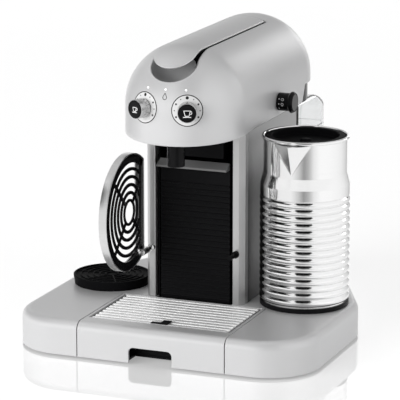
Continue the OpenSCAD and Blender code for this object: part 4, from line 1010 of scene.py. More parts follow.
def drawer_surface(size):
    """The drawer's cover: the base's section carried across the bay, with flat ends, a finger notch in its front
    and an opening for the grid in its top."""
    low, high = BOX["drawer_cover"]
    grid_low, grid_high = BOX["drip_grid"]
    rows = edge_profile(size, low[2], high[2])
    rows = rows[rows[:, 1] > low[2] + 1]
    half, notch, foot = high[0] - size.seam_gap, size.notch_w / 2, low[2]
    round_top = spread(np.array([[-half], [half]]), low[1] + rows[None, :, 0], rows[None, :, 1])
    arch = filleted([(-notch, foot), (-notch, foot + size.notch_h), (notch, foot + size.notch_h), (notch, foot)],
                    size.notch_r, 8)
    front_z = rows[0, 1]
    front = np.concatenate([[(-half, foot)], arch, [(half, foot), (half, front_z), (-half, front_z)]])
    throat = spread(arch[:, :1], np.array([[low[1], low[1] + size.wall]]), arch[:, 1:])
    outer = rectangle(-half, low[1] + size.edge + EDGE_STRIP, half, high[1])
    inner = rectangle(-size.opening_half_w, grid_low[1] - GAP, size.opening_half_w, grid_high[1] + GAP)
    top, frame_low, front_t, back_low = high[2], high[2] - 4, 12, grid_low[2] - 2
    frame_top = np.array([[(*o, top), (*i, top), (*i, frame_low)] for o, i in zip(outer, inner)])
    side = np.concatenate([[(low[1], foot), (low[1], front_z)], rows[1:] + [low[1], 0],
                           [(high[1], top), (high[1], back_low), (low[1] + front_t, back_low),
                            (low[1] + front_t, foot)]])
    ends = [plate(spread(x, side[:, 0], side[:, 1])) for x in (-half, half)]
    back = np.array(rectangle(-half, top, half, back_low))
    return joined(grid(round_top), plate(spread(front[:, 0], low[1], front[:, 1])), grid(throat),
                  grid(frame_top, close_u=True), plate(spread(back[:, 0], high[1], back[:, 1])), *ends)


def grid_surface(size):
    """The drip grid: rounded bars one pitch apart, on three rails."""
    low, high = BOX["drip_grid"]
    bar_t, rail_half_w, rail_in = 2, 1.5, 4
    pitch = (high[1] - low[1] - size.bar_w) / (size.bars - 1)
    first = low[1] + pitch * np.arange(size.bars)
    ends = low[0] + size.end_gap, high[0] - size.end_gap
    bars = [bar((ends[0], y, high[2] - bar_t), (ends[1], y + size.bar_w, high[2]), size.edge) for y in first]
    rails = [bar((x - rail_half_w, low[1], low[2]), (x + rail_half_w, high[1], high[2] - 1.8), 0.3)
             for x in (low[0] + rail_in, 0, high[0] - rail_in)]
    return joined(*bars, *rails)


# ---------------------------------------------------------------- jug and round parts

def jug_radii(size):
    """The radius over the ribs, a little more than the foot ring's, and the radius of the neck."""
    outer = BOX["jug_foot_ring"][1][0] - middle_of("jug_foot_ring")[0] + 0.6
    return outer, outer - size.neck_step


def jug_surface(size):
    """The jug's wall turned about its axis. Its ribs are arcs of a circle that stand out of the valley radius:
    radius = rib centre + root of (rib radius squared less height squared). In the spout's height the radius about
    the front becomes that of two straight lines from the spout's point to where they meet the neck, and the point's
    reach grows evenly from the spout's foot to its top."""
    low, high = BOX["milk_jug"]
    rim = high[2]
    outer, neck = jug_radii(size)
    pitch = (size.rib_top - size.rib_low) / size.ribs
    z = np.linspace(size.rib_low, size.rib_top, size.ribs * 12 + 1)
    off = (z - size.rib_low) % pitch - pitch / 2
    swell = outer - size.rib_r + np.sqrt(np.maximum(size.rib_r**2 - off**2, 0))
    ribs = np.stack([np.maximum(swell, outer - size.valley), z], 1)
    band_top = size.rib_top + size.band_h
    shoulder = filleted([(outer - size.valley, size.rib_top), (outer - 0.4, size.rib_top + 0.8),
                         (outer - 0.4, band_top), (neck, band_top + size.shoulder_h), (neck, rim - 12)],
                        [0, 0.7, 7, 7, 0], 8)
    spout_top = rim - 2 * size.lip_r - 0.6
    tall = np.linspace(band_top + size.shoulder_h + 3, spout_top, 26)
    turn = np.linspace(-0.32, 1.1, 14) * math.pi
    lip_centre = np.array([neck + 0.6, rim - size.lip_r])
    lip = lip_centre + size.lip_r * np.stack([np.cos(turn), np.sin(turn)], 1)
    lip[:, 0] = np.maximum(lip[:, 0], neck - size.wall)
    inner = spread(neck - size.wall, np.linspace(rim - 3, low[2] + 2.6, 6))
    profile = np.concatenate([[(0, low[2]), (outer - size.valley, low[2])], ribs, shoulder[:-1], spread(neck, tall),
                              [(neck, spout_top + 0.3)], lip, inner, [(0, low[2] + 2)]])
    turn = np.linspace(0, 2 * math.pi, 160, endpoint=False)
    turn = np.unique(np.concatenate([turn, np.linspace(-0.5, 0.5, 61) % (2 * math.pi)]))
    about = (turn + math.pi) % (2 * math.pi) - math.pi
    first = 2 + len(ribs) + len(shoulder) - 1
    share = np.zeros(len(profile))
    share[first : first + len(tall)] = np.linspace(0, 1, len(tall))
    radius = spout_radius(np.abs(about)[:, None], neck, share[None] * size.spout_reach, share[None] * size.spout_half_w)
    radius = np.where(share[None] > 0, radius, profile[None, :, 0])
    axis = middle_of("jug_foot_ring")
    return grid(spread(axis[0] + np.sin(turn)[:, None] * radius, axis[1] - np.cos(turn)[:, None] * radius,
                       profile[None, :, 1]), close_u=True)


def spout_radius(about, neck, reach, half_w):
    """Distance from the jug's axis to the folded spout: along the straight line from its point to the neck."""
    point = neck + reach
    foot = np.sqrt(neck**2 - half_w**2)  # how far ahead of the axis the lines meet the neck
    line = point * half_w / np.maximum(half_w * np.cos(about) + (point - foot) * np.sin(about), 1e-6)
    inside = (about < np.arctan2(half_w, foot)) & (half_w > 0)
    return np.where(inside, np.maximum(line, neck), neck)


def spout_painted_shade(size):
    """A painted shade for the mouth of the spout: a black three-sided plate just over the spout's upper edge."""
    x, y = middle_of("jug_foot_ring")[:2]
    neck = jug_radii(size)[1]
    z = BOX["milk_jug"][1][2] - 2 * size.lip_r - 0.55
    half, foot = size.spout_half_w - 2.2, math.sqrt(neck**2 - size.spout_half_w**2)
    tip = neck + size.spout_reach - 1.6
    return plate([(x - half, y - foot - 0.6, z), (x, y - tip, z), (x + half, y - foot - 0.6, z), (x, y - neck + 1, z)])


def lid_surface():
    """The jug's lid: a round plug with a wide recess and a low hub, its edges rounded."""
    low, high = BOX["jug_lid"]
    radius, depth = (high[0] - low[0]) / 2, high[2] - low[2]
    profile = filleted([(0, 0), (radius, 0), (radius, depth), (radius - 6.6, depth), (radius - 6.9, 2), (6, 2),
                        (5, 5), (0, 5)], [0, 0.5, 1.2, 1.4, 1.5, 1.0, 1.2, 0], 6)
    return turned(profile, foot_of("jug_lid"))


def warmer_surface():
    """The cup warmer: a round body with a raised rim, and in its dish rings and spokes of rounded section."""
    low, high = BOX["cup_warmer"]
    radius, height = (high[0] - low[0]) / 2, high[2] - low[2]
    rim_w, rings, spokes, first_r = 2.4, 5, 6, 6
    foot, floor = foot_of("cup_warmer"), height - 1.6
    parts = [turned(filleted([(0, 0), (radius - 1.5, 0), (radius, height), (radius - rim_w, height),
                              (radius - rim_w - 0.3, floor), (0, floor)],
                             [0, 0.5, 0.9, 0.7, 0.4, 0], 5), foot, steps=128)]
    pitch = (radius - rim_w - first_r) / rings
    for r in [first_r + i * pitch for i in range(rings)]:
        hoop = filleted([(r, floor - 0.3), (r, floor + 1), (r + 1.3, floor + 1), (r + 1.3, floor - 0.3)], 0.35, 4)
        parts.append(turned(hoop, foot))
    spoke = bar((first_r + 0.5, -0.7, floor - 0.3), (radius - rim_w, 0.7, floor + 0.95), 0.3)
    parts += [swung(spoke, foot, math.radians(360 / spokes * i)) for i in range(spokes)]
    return joined(*parts)


# ---------------------------------------------------------------- dials, lamps and printed marks

# How far the faces of dials and buttons, and the marks on the buttons, stand out from the head's surface.
DIAL_FACE, BUTTON_FACE, BUTTON_MARK = 12.8, 13.1, 13.05
# How far the scale plates stand out, and how far the drop sign is over the head's front.
SCALE_LIFT, SIGN_RISE = 0.3, 16.5
# Radius of the milk knob's body, and how far its end reaches from the head's side.
KNOB_R, KNOB_REACH = 9.3, 17.6


class Facing:
    """A place on the head's front: its axis, and the directions to the right and up across it."""

    def __init__(self, origin, turn):
        self.origin = np.array(origin, float)
        self.axis = np.array([math.sin(turn), -math.cos(turn), 0])
        self.right = np.array([math.cos(turn), math.sin(turn), 0])
        self.up = np.array([0, 0, 1.0])

    def flat(self, part, reach):
        """Sets a part across the axis, with its z outwards."""
        return placed(part, self.origin + self.axis * reach, self.right, self.up)

    def about(self, profile):
        """Turns rows (radius, reach) about the axis."""
        return turned(profile, self.origin, self.axis)

    def wrapped(self, part, dome):
        """Lays a part on the dome: seen along the axis its x and y stay, and its z becomes height over the dome."""
        points, faces = part
        plan = self.origin + points[:, :1] * self.right + points[:, 1:2] * self.up
        away = plan - dome.front
        away[:, 2] = np.maximum(away[:, 2], 0)
        radius = dome.radius + points[:, 2:3]
        return plan + self.axis * np.sqrt(radius**2 - (away**2).sum(1, keepdims=True)), faces


def stroke(points, width, thick):
    """A printed line: a strip of one width along an open line, with its sides."""
    points = np.array(points, float)
    along = np.gradient(points, axis=0)
    side = unit(np.stack([along[:, 1], -along[:, 0]], 1))
    across = np.array([-0.5, -0.5, 0.5, 0.5]) * width
    height = np.array([-thick, thick, thick, -thick])
    plan = points[:, None] + side[:, None] * across[None, :, None]
    return grid(spread(plan[..., 0], plan[..., 1], height[None]))


def dot(u, v, radius, thick):
    """A printed dot: a thin round plate."""
    return turned([(0, thick), (radius, thick), (radius, -thick)], (u, v, 0), steps=20)


def ring_stroke(radius, width, thick, steps=96):
    """A printed circle of one line width."""
    inner, outer = radius - width / 2, radius + width / 2
    return turned([(inner, -thick), (inner, thick), (outer, thick), (outer, -thick)], (0, 0, 0), steps=steps)


def scale_ring(size):
    """The scale plate, to be laid on the dome: rings of points about the dial's axis, raised a little, with a
    rounded rim."""
    rim = size.ring_d / 2
    reach = np.concatenate([np.linspace(6.6, rim - 0.35, 10), [rim - 0.1, rim, rim]])
    lift = np.concatenate([np.full(10, SCALE_LIFT), [0.22, 0.05, -1.5]])
    return turned(np.stack([reach, lift], 1), (0, 0, 0))


def scale_marks(size):
    """Printed marks of a scale: an outline near its rim, small dots round it and one large dot at its top."""
    t = SCALE_LIFT + size.print_t
    outline_ring = ring_stroke(size.ring_d / 2 - 0.75, 0.9, t)
    turn = math.radians(90) + np.linspace(0, 2 * math.pi, size.dots + 1)[1:-1]
    turn = turn[np.sin(turn) > -0.55]
    reach = size.ring_d / 2 - 3.4
    wide = np.where(np.abs(np.abs(np.cos(turn)) - 0.87) < 0.1, 1.35, 0.8)
    dots = [dot(reach * math.cos(a), reach * math.sin(a), size.dot_r * w, t) for a, w in zip(turn, wide)]
    return joined(outline_ring, *dots, dot(0, reach, 2.2 * size.dot_r, t))


def dial_profile(dome):
    """A dial's barrel: a sleeve with rounded ends and a recess for its button."""
    low, high = BOX["right_dial"]
    radius, face = (high[2] - low[2]) / 2, dome.radius + DIAL_FACE
    return filleted([(0, face - 15), (5.6, face - 15), (5.6, face - 12), (radius, face - 12), (radius, face),
                     (radius - 0.5, face), (radius - 0.5, face - 3.1), (0, face - 3.1)],
                    [0, 0, 0, 0.5, 0.45, 0.1, 0.2, 0], 5)


def button_profile(dome):
    """A button's cap and stem: the cap's face swells a little towards its middle."""
    low, high = BOX["right_button"]
    radius, face = (high[2] - low[2]) / 2, dome.radius + BUTTON_FACE
    swell = np.linspace(1, 0, 7)
    crown = np.stack([(radius - 0.45) * swell, face - 0.22 * swell**2], 1)
    return np.concatenate([[(0, face - 22), (3.6, face - 22), (3.6, face - 1.7), (radius, face - 1.7),
                            (radius, face - 0.6), (radius - 0.12, face - 0.35)], crown])


def cup_mark(width, height, thick):
    """A plain cup with a handle on a saucer, as printed lines."""
    half, foot = width / 2, width / 3.4
    bowl = stroke(filleted([(-half, height / 2), (-foot, -height / 2), (foot, -height / 2), (half, height / 2)],
                           0.6, 6), 0.62, thick)
    brim = stroke([(-half - 0.3, height / 2), (half + 0.3, height / 2)], 0.62, thick)
    handle = stroke(filleted([(half - 0.2, height / 2 - 0.5), (half + 1.5, height / 2 - 0.6),
                              (half + 1.2, -height / 8), (half - 0.7, -height / 6)], 0.7, 6), 0.55, thick)
    saucer = stroke([(-half - 0.7, -height / 2 - 1.1), (half + 0.7, -height / 2 - 1.1)], 0.7, thick)
    return joined(bowl, brim, handle, saucer)


def drop_mark(thick):
    """A drop outline: a circle below whose sides run up to a point."""
    turn = np.linspace(math.radians(148), math.radians(392), 22)
    circle = 2 * np.stack([np.cos(turn), np.sin(turn)], 1)
    line = np.concatenate([[(0, 4.2)], circle, [(0, 4.2)]])
    return stroke(line, 0.75, thick)


def knob_surface():
    """The milk knob: a turned body with a flared rim and a shallow recess in its end."""
    low, high = BOX["milk_knob"]
    radius, rim = KNOB_R, (high[1] - low[1]) / 2
    profile = filleted([(0, -20), (3.4, -20), (3.4, 0.4), (radius, 0.4), (radius, 12), (rim, 14), (rim, 15.6),
                        (radius + 0.3, 17.55), (radius - 0.8, 17.55), (radius - 0.8, 16.85), (0, 16.85)],
                       [0, 0, 0, 0.6, 0.8, 0.5, 0.5, 0.3, 0.1, 0.1, 0], 5)
    return turned(profile, (high[0] - KNOB_REACH, *middle_of("milk_knob")[1:]), (1, 0, 0))


def knob_marks(thick):
    """Marks round the knob's body: each (along the axis, turn from the front upwards in degrees, radius, is ring)."""
    face, centre = BOX["milk_knob"][1][0] - KNOB_REACH, middle_of("milk_knob")
    parts = []
    for along, turn, radius, hollow in ((3.2, 28, 0.65, False), (3.2, -4, 0.65, False), (3.2, -36, 0.65, False),
                                        (6.8, 24, 1.25, True), (6.8, -6, 1.25, True), (6.8, -15, 0.7, False)):
        mark = ring_stroke(radius, 0.5, thick, 24) if hollow else dot(0, 0, radius, thick)
        a = math.radians(turn)
        out = np.array([0, -math.cos(a), math.sin(a)])
        up = np.array([0, math.sin(a), math.cos(a)])
        spot = np.array([face + along, centre[1], centre[2]]) + out * KNOB_R
        parts.append(placed(mark, spot, (1, 0, 0), up))
    return joined(*parts)


# ---------------------------------------------------------------- cup support

# How far the support's upper face lies inside its box, whose right side is that of the hinge lug; the lug's place
# from front to rear and half its length; how far the slotted plate lies under the upper face.
SUPPORT_FACE, LUG_Y, LUG_HALF, PLATE_SUNK = 6.59, -93.0, 7, 0.4


def support_lug():
    """The support's hinge: a lug across the pin with a short block that joins it to the band."""
    pin, (low, high) = middle_of("support_hinge_pin"), BOX["support_rim"]
    lug_r = high[0] - pin[0]
    profile = filleted([(0, -LUG_HALF), (lug_r, -LUG_HALF), (lug_r, LUG_HALF), (0, LUG_HALF)], 0.4, 4)
    neck = bar((low[0] + 7.1, LUG_Y - LUG_HALF, pin[2] - 3.3), (pin[0], LUG_Y + LUG_HALF, pin[2] + 3.3), 0.5)
    return joined(turned(profile, (pin[0], LUG_Y, pin[2]), (0, 1, 0), 48), neck)


def on_support(part):
    """Carries a flat part into the folded support's plane: its x to the rear, its y up, its z to the right."""
    low, high = BOX["support_rim"]
    origin = (high[0] - SUPPORT_FACE, low[1] + 60, middle_of("support_rim")[2])
    return placed(part, origin, (0, 1, 0), (0, 0, 1))


def support_outline(radius, chord, corner):
    """A circle cut off along a straight line, with a small round at both ends of the line."""
    turn = math.acos(chord / radius)
    arc = np.linspace(turn, 2 * math.pi - turn, 150)
    points = radius * np.stack([np.cos(arc), np.sin(arc)], 1)
    start = corner_arc(points[-1], points[0], points[1], corner, 6)
    end = corner_arc(points[-2], points[-1], points[0], corner, 6)
    return np.concatenate([start, points[1:-1], end])


def rim_surface(size):
    """The support's band: a thin wall along the cut circle, rounded at both edges."""
    (low, high), t = BOX["support_rim"], size.rim_t
    back, front = low[0] - high[0] + SUPPORT_FACE, 0.0
    profile = [(0.0, back + 0.4), (0.0, front - 0.5), (0.15, front - 0.12), (0.5, front), (t - 0.4, front),
               (t - 0.1, front - 0.15), (t, front - 0.5), (t, back + 1.6), (6.8, back + 1.6), (7, back + 1.4),
               (7, back + 0.2), (6.8, back), (0.4, back)]
    return on_support(banded(support_outline(size.radius, size.chord, 1.0), profile, close_profile=True))


def support_grid_surface(size):
    """The slotted plate: round hoops between the slots, solid along the straight side, and four spokes."""
    low, high = -PLATE_SUNK - size.plate_t, -PLATE_SUNK
    outer, chord, limit = size.radius - size.rim_t, size.chord - size.rim_t, size.chord - size.band_w
    edges = [size.hole_r]
    edges += [size.first_slot + k * size.slot_pitch + s for k in range(size.slots) for s in (0, size.slot_w)]
    edges += [outer]
    parts = []
    for inner, rim in zip(edges[::2], edges[1::2]):
        section = filleted([(inner, low + 0.4), (inner, high), (rim, high), (rim, low + 0.4)], 0.6, 5)
        section = np.concatenate([section, [(rim, low), (inner, low)], section[:1]])
        if rim <= limit:
            parts.append(turned(section, (0, 0, 0), steps=72))
        else:
            turn = math.acos((chord if rim == outer else limit + 1.5) / rim)
            parts.append(turned(section, (0, 0, 0), steps=90, start=turn, sweep=2 * (math.pi - turn)))
    wide, narrow = math.sqrt(outer**2 - limit**2), math.sqrt(outer**2 - chord**2)
    band = [(limit, -wide), (chord, -narrow), (chord, narrow), (limit, wide)]
    parts.append(block(outline(band, 0.6, 4), low, high, 0.6))
    for turn in np.radians((45, 135, 225, 315)):
        long = outer - 4 if math.cos(turn) < 0 else 38
        spoke = bar((size.hole_r + 1, -size.spoke_w / 2, low), (long, size.spoke_w / 2, high - 0.15), 0.5)
        parts.append(swung(spoke, (0, 0, 0), turn))
    return on_support(joined(*parts))


# ---------------------------------------------------------------- water tank

def tank_surface(size):
    """The open tank: its outline carried up outside, over a rounded rim, down inside and across the floor."""
    low, high = BOX["water_tank"]
    rows = [(0.8, low[2]), (0, low[2] + 0.8), (0, high[2] - 0.6), (0.6, high[2]), (size.wall - 0.6, high[2]),
            (size.wall, high[2] - 0.6), (size.wall, low[2] + size.wall + 0.8), (size.wall + 0.8, low[2] + size.wall)]
    corners = [size.front_corner, size.front_corner, size.rear_corner, size.rear_corner]
    return capped(outline(rectangle(*low[:2], *high[:2]), corners, 12), rows)


def tank_lid_skin(size, inset):
    """One skin of the lid: across it run lines from one foot over the roof to the other, along it the roof stays
    level and then follows the shoulder's round, and the half width narrows with the round corners of the plan."""
    low, high = BOX["tank_lid"]
    front, rear, top, half = low[1] + inset, high[1] - inset, high[2] - inset, high[0] - inset
    shoulder, drop = size.shoulder - inset, size.drop - inset
    y = front + quarter(size.front_corner - inset, 9)[0]
    y = np.concatenate([y, np.linspace(y[-1], rear - size.shoulder + inset, 5)[1:],
                        rear - shoulder + shoulder * np.sin(np.linspace(0, math.pi / 2, 26))[1:]])
    z = top - drop + drop * np.sqrt(np.maximum(1 - (np.maximum(y - rear + shoulder, 0) / shoulder) ** 2, 0))
    width = np.full(len(y), half)
    for corner, deep in ((size.front_corner - inset, y - front), (size.rear_corner - inset, rear - y)):
        near = np.clip(corner - deep, 0, None)
        width -= corner - np.sqrt(np.maximum(corner**2 - near**2, 0))
    edge = size.roof_edge - inset
    rise = np.linspace(0, 1, 4)[None, :-1]
    width, y, z = width[:, None], y[:, None], z[:, None]
    side = spread(width, y, low[2] + (z - edge - low[2]) * rise)
    turn = np.linspace(0, math.pi / 2, 7)[None]
    over = spread((width - edge) + edge * np.cos(turn), y, (z - edge) + edge * np.sin(turn))
    side = np.concatenate([side, over], 1)
    roof = spread((width - edge) * np.linspace(-1, 1, 9)[None, 1:-1], y, z)
    return np.concatenate([side * [-1, 1, 1], roof, side[:, ::-1]], 1)


def tank_lid_surface(size):
    """The lid: an outer and an inner skin, each with flat ends, and the foot that joins them."""
    skins = tank_lid_skin(size, 0), tank_lid_skin(size, size.wall)
    parts = [part for skin in skins for part in (grid(skin), plate(skin[0]), plate(skin[-1]))]
    feet = [np.concatenate([skin[:, 0], skin[::-1, -1]]) for skin in skins]
    return joined(*parts, grid(np.stack(feet, 1), close_u=True))


# ---------------------------------------------------------------- operators

class COFFEE_OT_head(Operator):
    """Builds the head's skin with its finger scoop and the channel under the lever"""
    bl_idname = "coffee.head"
    bl_label = "Head"

    def execute(self, context):
        size = in_mm(context.scene.coffee_head)
        dome = head_dome()
        inside, above = dome.front + [0, 60, 0], dome.front + [0, 0, 200]
        piece("head_cover", head_surface(size), "head_shell", away=inside)
        piece("finger_scoop", scoop_surface(size), "head_shell", material="scoop_silver", toward=above)
        piece("lever_channel", channel_surface(size), "head_shell", material="matte_black", toward=above)
        refined("head_underside", 0.6)
        refined("milk_control", 0.6)
        dressed("pump", "pump_mount", "thermoblock", "water_hoses", "power_board", "control_board", "dial_encoders")
        return {"FINISHED"}


class COFFEE_OT_lever(Operator):
    """Builds the lever's curved cover and finishes the bar, the pin and the piston that it drives"""
    bl_idname = "coffee.lever"
    bl_label = "Lever"

    def execute(self, context):
        piece("lever_tongue", lever_surface(in_mm(context.scene.coffee_lever)), "lever_cover")
        refined("lever_bar", 0.5)
        dressed("lever_pin", "brew_piston")
        return {"FINISHED"}


class COFFEE_OT_base(Operator):
    """Builds the base's skin and finishes its plate, feet, screws and inlet"""
    bl_idname = "coffee.base"
    bl_label = "Base"

    def execute(self, context):
        size = in_mm(context.scene.coffee_base)
        piece("base_cover", base_surface(size), "base_shell", edge=size.seam, away=(0, 0, 10))
        # Black plates inside the bay: painted shade in the gap beside the drawer.
        piece("bay_shade", bay_shade(size), "base_shell", material="matte_black")
        dressed("base_plate")
        refined("rubber_feet", 0.6)
        dressed("base_screws")
        refined("power_inlet", 0.5)
        return {"FINISHED"}


class COFFEE_OT_drawer(Operator):
    """Builds the drawer's cover and the drip grid, and finishes the tray and the clip"""
    bl_idname = "coffee.drawer"
    bl_label = "Drawer and grid"

    def execute(self, context):
        size = in_mm(context.scene.coffee_base)
        piece("drawer_skin", drawer_surface(size), "drawer_cover", edge=size.seam, away=(0, -130, 25))
        piece("grid_bars", grid_surface(in_mm(context.scene.coffee_grid)), "drip_grid")
        # The tray is drawn black: painted shade between and under the grid's bars.
        refined("drip_tray", 0.4, "matte_black")
        refined("grid_clip", 0.4)
        return {"FINISHED"}


class COFFEE_OT_column(Operator):
    """Finishes the pillars, the column's panels and what stands between them"""
    bl_idname = "coffee.column"
    bl_label = "Column"

    def execute(self, context):
        for node in ("left_pillar", "right_pillar"):
            refined(node, 1.0)
        for node in ("left_side_panel", "right_side_panel", "rear_panel", "bay_liner", "coffee_outlet", "tank_dock"):
            refined(node, 0.5)
        refined("brew_unit", 0.5, "matte_black")
        dressed("capsule_chute")
        return {"FINISHED"}


class COFFEE_OT_container(Operator):
    """Finishes the container for used capsules"""
    bl_idname = "coffee.container"
    bl_label = "Capsule container"

    def execute(self, context):
        refined("capsule_container", 0.6)
        refined("container_lip", 0.6, "lip_grey")
        return {"FINISHED"}


class COFFEE_OT_dials(Operator):
    """Builds the dials with their buttons, scales and printed marks, and the three small lamps"""
    bl_idname = "coffee.dials"
    bl_label = "Dials and lamps"

    def execute(self, context):
        size = in_mm(context.scene.coffee_dials)
        dome = head_dome()
        t = size.print_t
        for side, name, cup in ((1, "right", (6.4, 5.2)), (-1, "left", (4.6, 3.9))):
            spot = Facing((0, dome.front[1], middle_of("right_dial")[2]), side * size.angle)
            piece(name + "_scale", spot.wrapped(scale_ring(size), dome), name + "_scale_ring", away=dome.front)
            piece(name + "_scale_marks", spot.wrapped(scale_marks(size), dome), name + "_scale_ring",
                  material="print_black")
            piece(name + "_dial_barrel", spot.about(dial_profile(dome)), name + "_dial")
            piece(name + "_button_cap", spot.about(button_profile(dome)), name + "_button")
            mark = spot.flat(cup_mark(*cup, t), dome.radius + BUTTON_MARK)
            piece(name + "_button_mark", mark, name + "_button", material="print_white")
        piece("lamp_lenses", self.lamps(size, dome), "indicator_lamps")
        spot = Facing(dome.front + [0, 0, SIGN_RISE], 0)
        piece("drop_sign", spot.wrapped(drop_mark(t), dome), "indicator_lamps", slot="scale_white",
              material="print_grey")
        return {"FINISHED"}

    @staticmethod
    def lamps(size, dome):
        """Three small lenses: each is a low dome turned about its own line out of the dome's front end."""
        profile = [(0, 62.8), (0.6, 62.75), (0.95, 62.6), (1.1, 62.35), (1.1, 61)]
        height = middle_of("indicator_lamps")[2] - dome.axis_z + 0.5
        reach = math.sqrt(dome.radius**2 - height**2)
        return joined(*[turned(profile, dome.front, (math.sin(a) * reach, -math.cos(a) * reach, height), steps=24)
                        for a in (-size.lamp_turn, 0, size.lamp_turn)])


class COFFEE_OT_milk_knob(Operator):
    """Builds the milk knob with its marks and end cap"""
    bl_idname = "coffee.milk_knob"
    bl_label = "Milk knob"

    def execute(self, context):
        t = in_mm(context.scene.coffee_dials).print_t
        piece("knob_body", knob_surface(), "milk_knob")
        piece("knob_marks", knob_marks(t), "milk_knob", material="print_white")
        refined("milk_knob_cap", 0.25, "dark_grey")
        return {"FINISHED"}


class COFFEE_OT_cup_support(Operator):
    """Builds the folding cup support and its pins"""
    bl_idname = "coffee.cup_support"
    bl_label = "Cup support"

    def execute(self, context):
        size = in_mm(context.scene.coffee_support)
        piece("support_band", joined(rim_surface(size), support_lug()), "support_rim", material="rim_steel")
        piece("support_plate", support_grid_surface(size), "support_grid")
        refined("support_hinge_pin", 0.3)
        refined("support_rest_pin", 0.3)
        return {"FINISHED"}


class COFFEE_OT_warmer(Operator):
    """Builds the round cup warmer"""
    bl_idname = "coffee.warmer"
    bl_label = "Cup warmer"

    def execute(self, context):
        piece("warmer_plate", warmer_surface(), "cup_warmer", material="warmer_black")
        dressed("warmer_heater")
        return {"FINISHED"}


class COFFEE_OT_jug(Operator):
    """Builds the ribbed milk jug with its lid, and finishes its foot, whisk and drive"""
    bl_idname = "coffee.jug"
    bl_label = "Milk jug"

    def execute(self, context):
        size = in_mm(context.scene.coffee_jug)
        piece("jug_vessel", jug_surface(size), "milk_jug")
        # A black plate over the spout's mouth: painted shade.
        piece("jug_spout_hollow", spout_painted_shade(size), "milk_jug", material="jug_mouth_painted_shade")
        piece("jug_plug", lid_surface(), "jug_lid", material="warmer_black")
        refined("jug_foot_ring", 0.4)
        refined("whisk", 0)
        refined("frother_dock", 0.5)
        dressed("frother_motor")
        return {"FINISHED"}


class COFFEE_OT_tank(Operator):
    """Builds the clear water tank and its lid"""
    bl_idname = "coffee.tank"
    bl_label = "Water tank"

    def execute(self, context):
        size = in_mm(context.scene.coffee_tank)
        piece("tank_vessel", tank_surface(size), "water_tank")
        piece("tank_cover", tank_lid_surface(size), "tank_lid")
        refined("tank_valve", 0.3)
        return {"FINISHED"}


# ---------------------------------------------------------------- floor, lamps, reflection boards and camera

# The low curved board stands at one distance from the jug's axis. Its tones are given at turns, in degrees, to the
# right of the camera's direction from the jug, which is itself CAMERA_TURN to the right of the front.
CARD_DISTANCE, CARD_LEVELS, CAMERA_TURN = 420, (2.0, 235.0), 21.8
STRIP_TONES = ((-74, 0.85), (-36, 0.87), (-18, 0.58), (-6, 0.30), (6, 0.46), (20, 0.82), (36, 0.98), (62, 0.97),
               (90, 0.92), (107, 0.86), (134, 0.66), (149, 0.42))


def staged(name, part, material):
    """Makes a part into an object of the studio."""
    thing = linked(name, mesh_of(name, part))
    thing.data.materials.append(material)
    return thing


def stage_plane(name, centre, right, up, size, material):
    """A flat rectangle about a centre."""
    half_w, half_h = size[0] / 2, size[1] / 2
    points = [np.array(centre) + x * np.array(right, float) + z * np.array(up, float)
              for x, z in rectangle(-half_w, -half_h, half_w, half_h)]
    return staged(name, plate(points), material)


def curved_card():
    """A low upright board that runs more than half way round the jug."""
    axis = middle_of("jug_foot_ring")
    turn = np.radians(CAMERA_TURN + np.linspace(STRIP_TONES[0][0], STRIP_TONES[-1][0], 90))[:, None]
    points = spread(axis[0] + CARD_DISTANCE * np.sin(turn), axis[1] - CARD_DISTANCE * np.cos(turn),
                    np.array([CARD_LEVELS]))
    return staged("card_low", grid(points), strip_material())


def seen_directly(tree):
    """One for rays that look straight at a surface, or see it in a mirror or through glass."""
    path = add(tree, "ShaderNodeLightPath").outputs
    first = math_node(tree, "ADD", path["Is Camera Ray"], path["Is Glossy Ray"])
    both = add(tree, "ShaderNodeMath", {0: first, 1: path["Is Transmission Ray"]}, operation="ADD")
    both.use_clamp = True
    return both.outputs[0]


def floor_material(colour):
    """The floor: pale and slightly glossy, lifted to white where it is seen, with its shadows kept."""
    material, tree = node_material("studio floor")
    grain = noise(tree, object_place(tree), 6.0, 4.0)
    darker = [0.985 * level for level in colour]
    feed(tree, tree.nodes["Principled BSDF"],
         {"Base Color": mixed(tree, grain.outputs["Fac"], (*darker, 1), (*colour, 1)), "Roughness": 0.0,
          "Metallic": 0.30, "IOR": 1.45, "Emission Color": (1, 1, 1, 1),
          "Emission Strength": math_node(tree, "MULTIPLY", seen_directly(tree), 0.325)})
    return material


def card_material(name, shade):
    """A board that only shines, in one grey, and that is clear to rays off a perfect mirror, such as the floor."""
    material, tree = node_material(name)
    shader = tree.nodes["Principled BSDF"]
    feed(tree, shader, {"Base Color": (0, 0, 0, 1), "Specular IOR Level": 0,
                        "Emission Color": (shade, shade, shade, 1), "Emission Strength": 1})
    mirrored = add(tree, "ShaderNodeLightPath").outputs["Is Singular Ray"]
    clear = add(tree, "ShaderNodeBsdfTransparent").outputs[0]
    mix = add(tree, "ShaderNodeMixShader", {0: mirrored, 1: shader.outputs[0], 2: clear})
    feed(tree, tree.nodes["Material Output"], {"Surface": mix.outputs[0]})
    return material


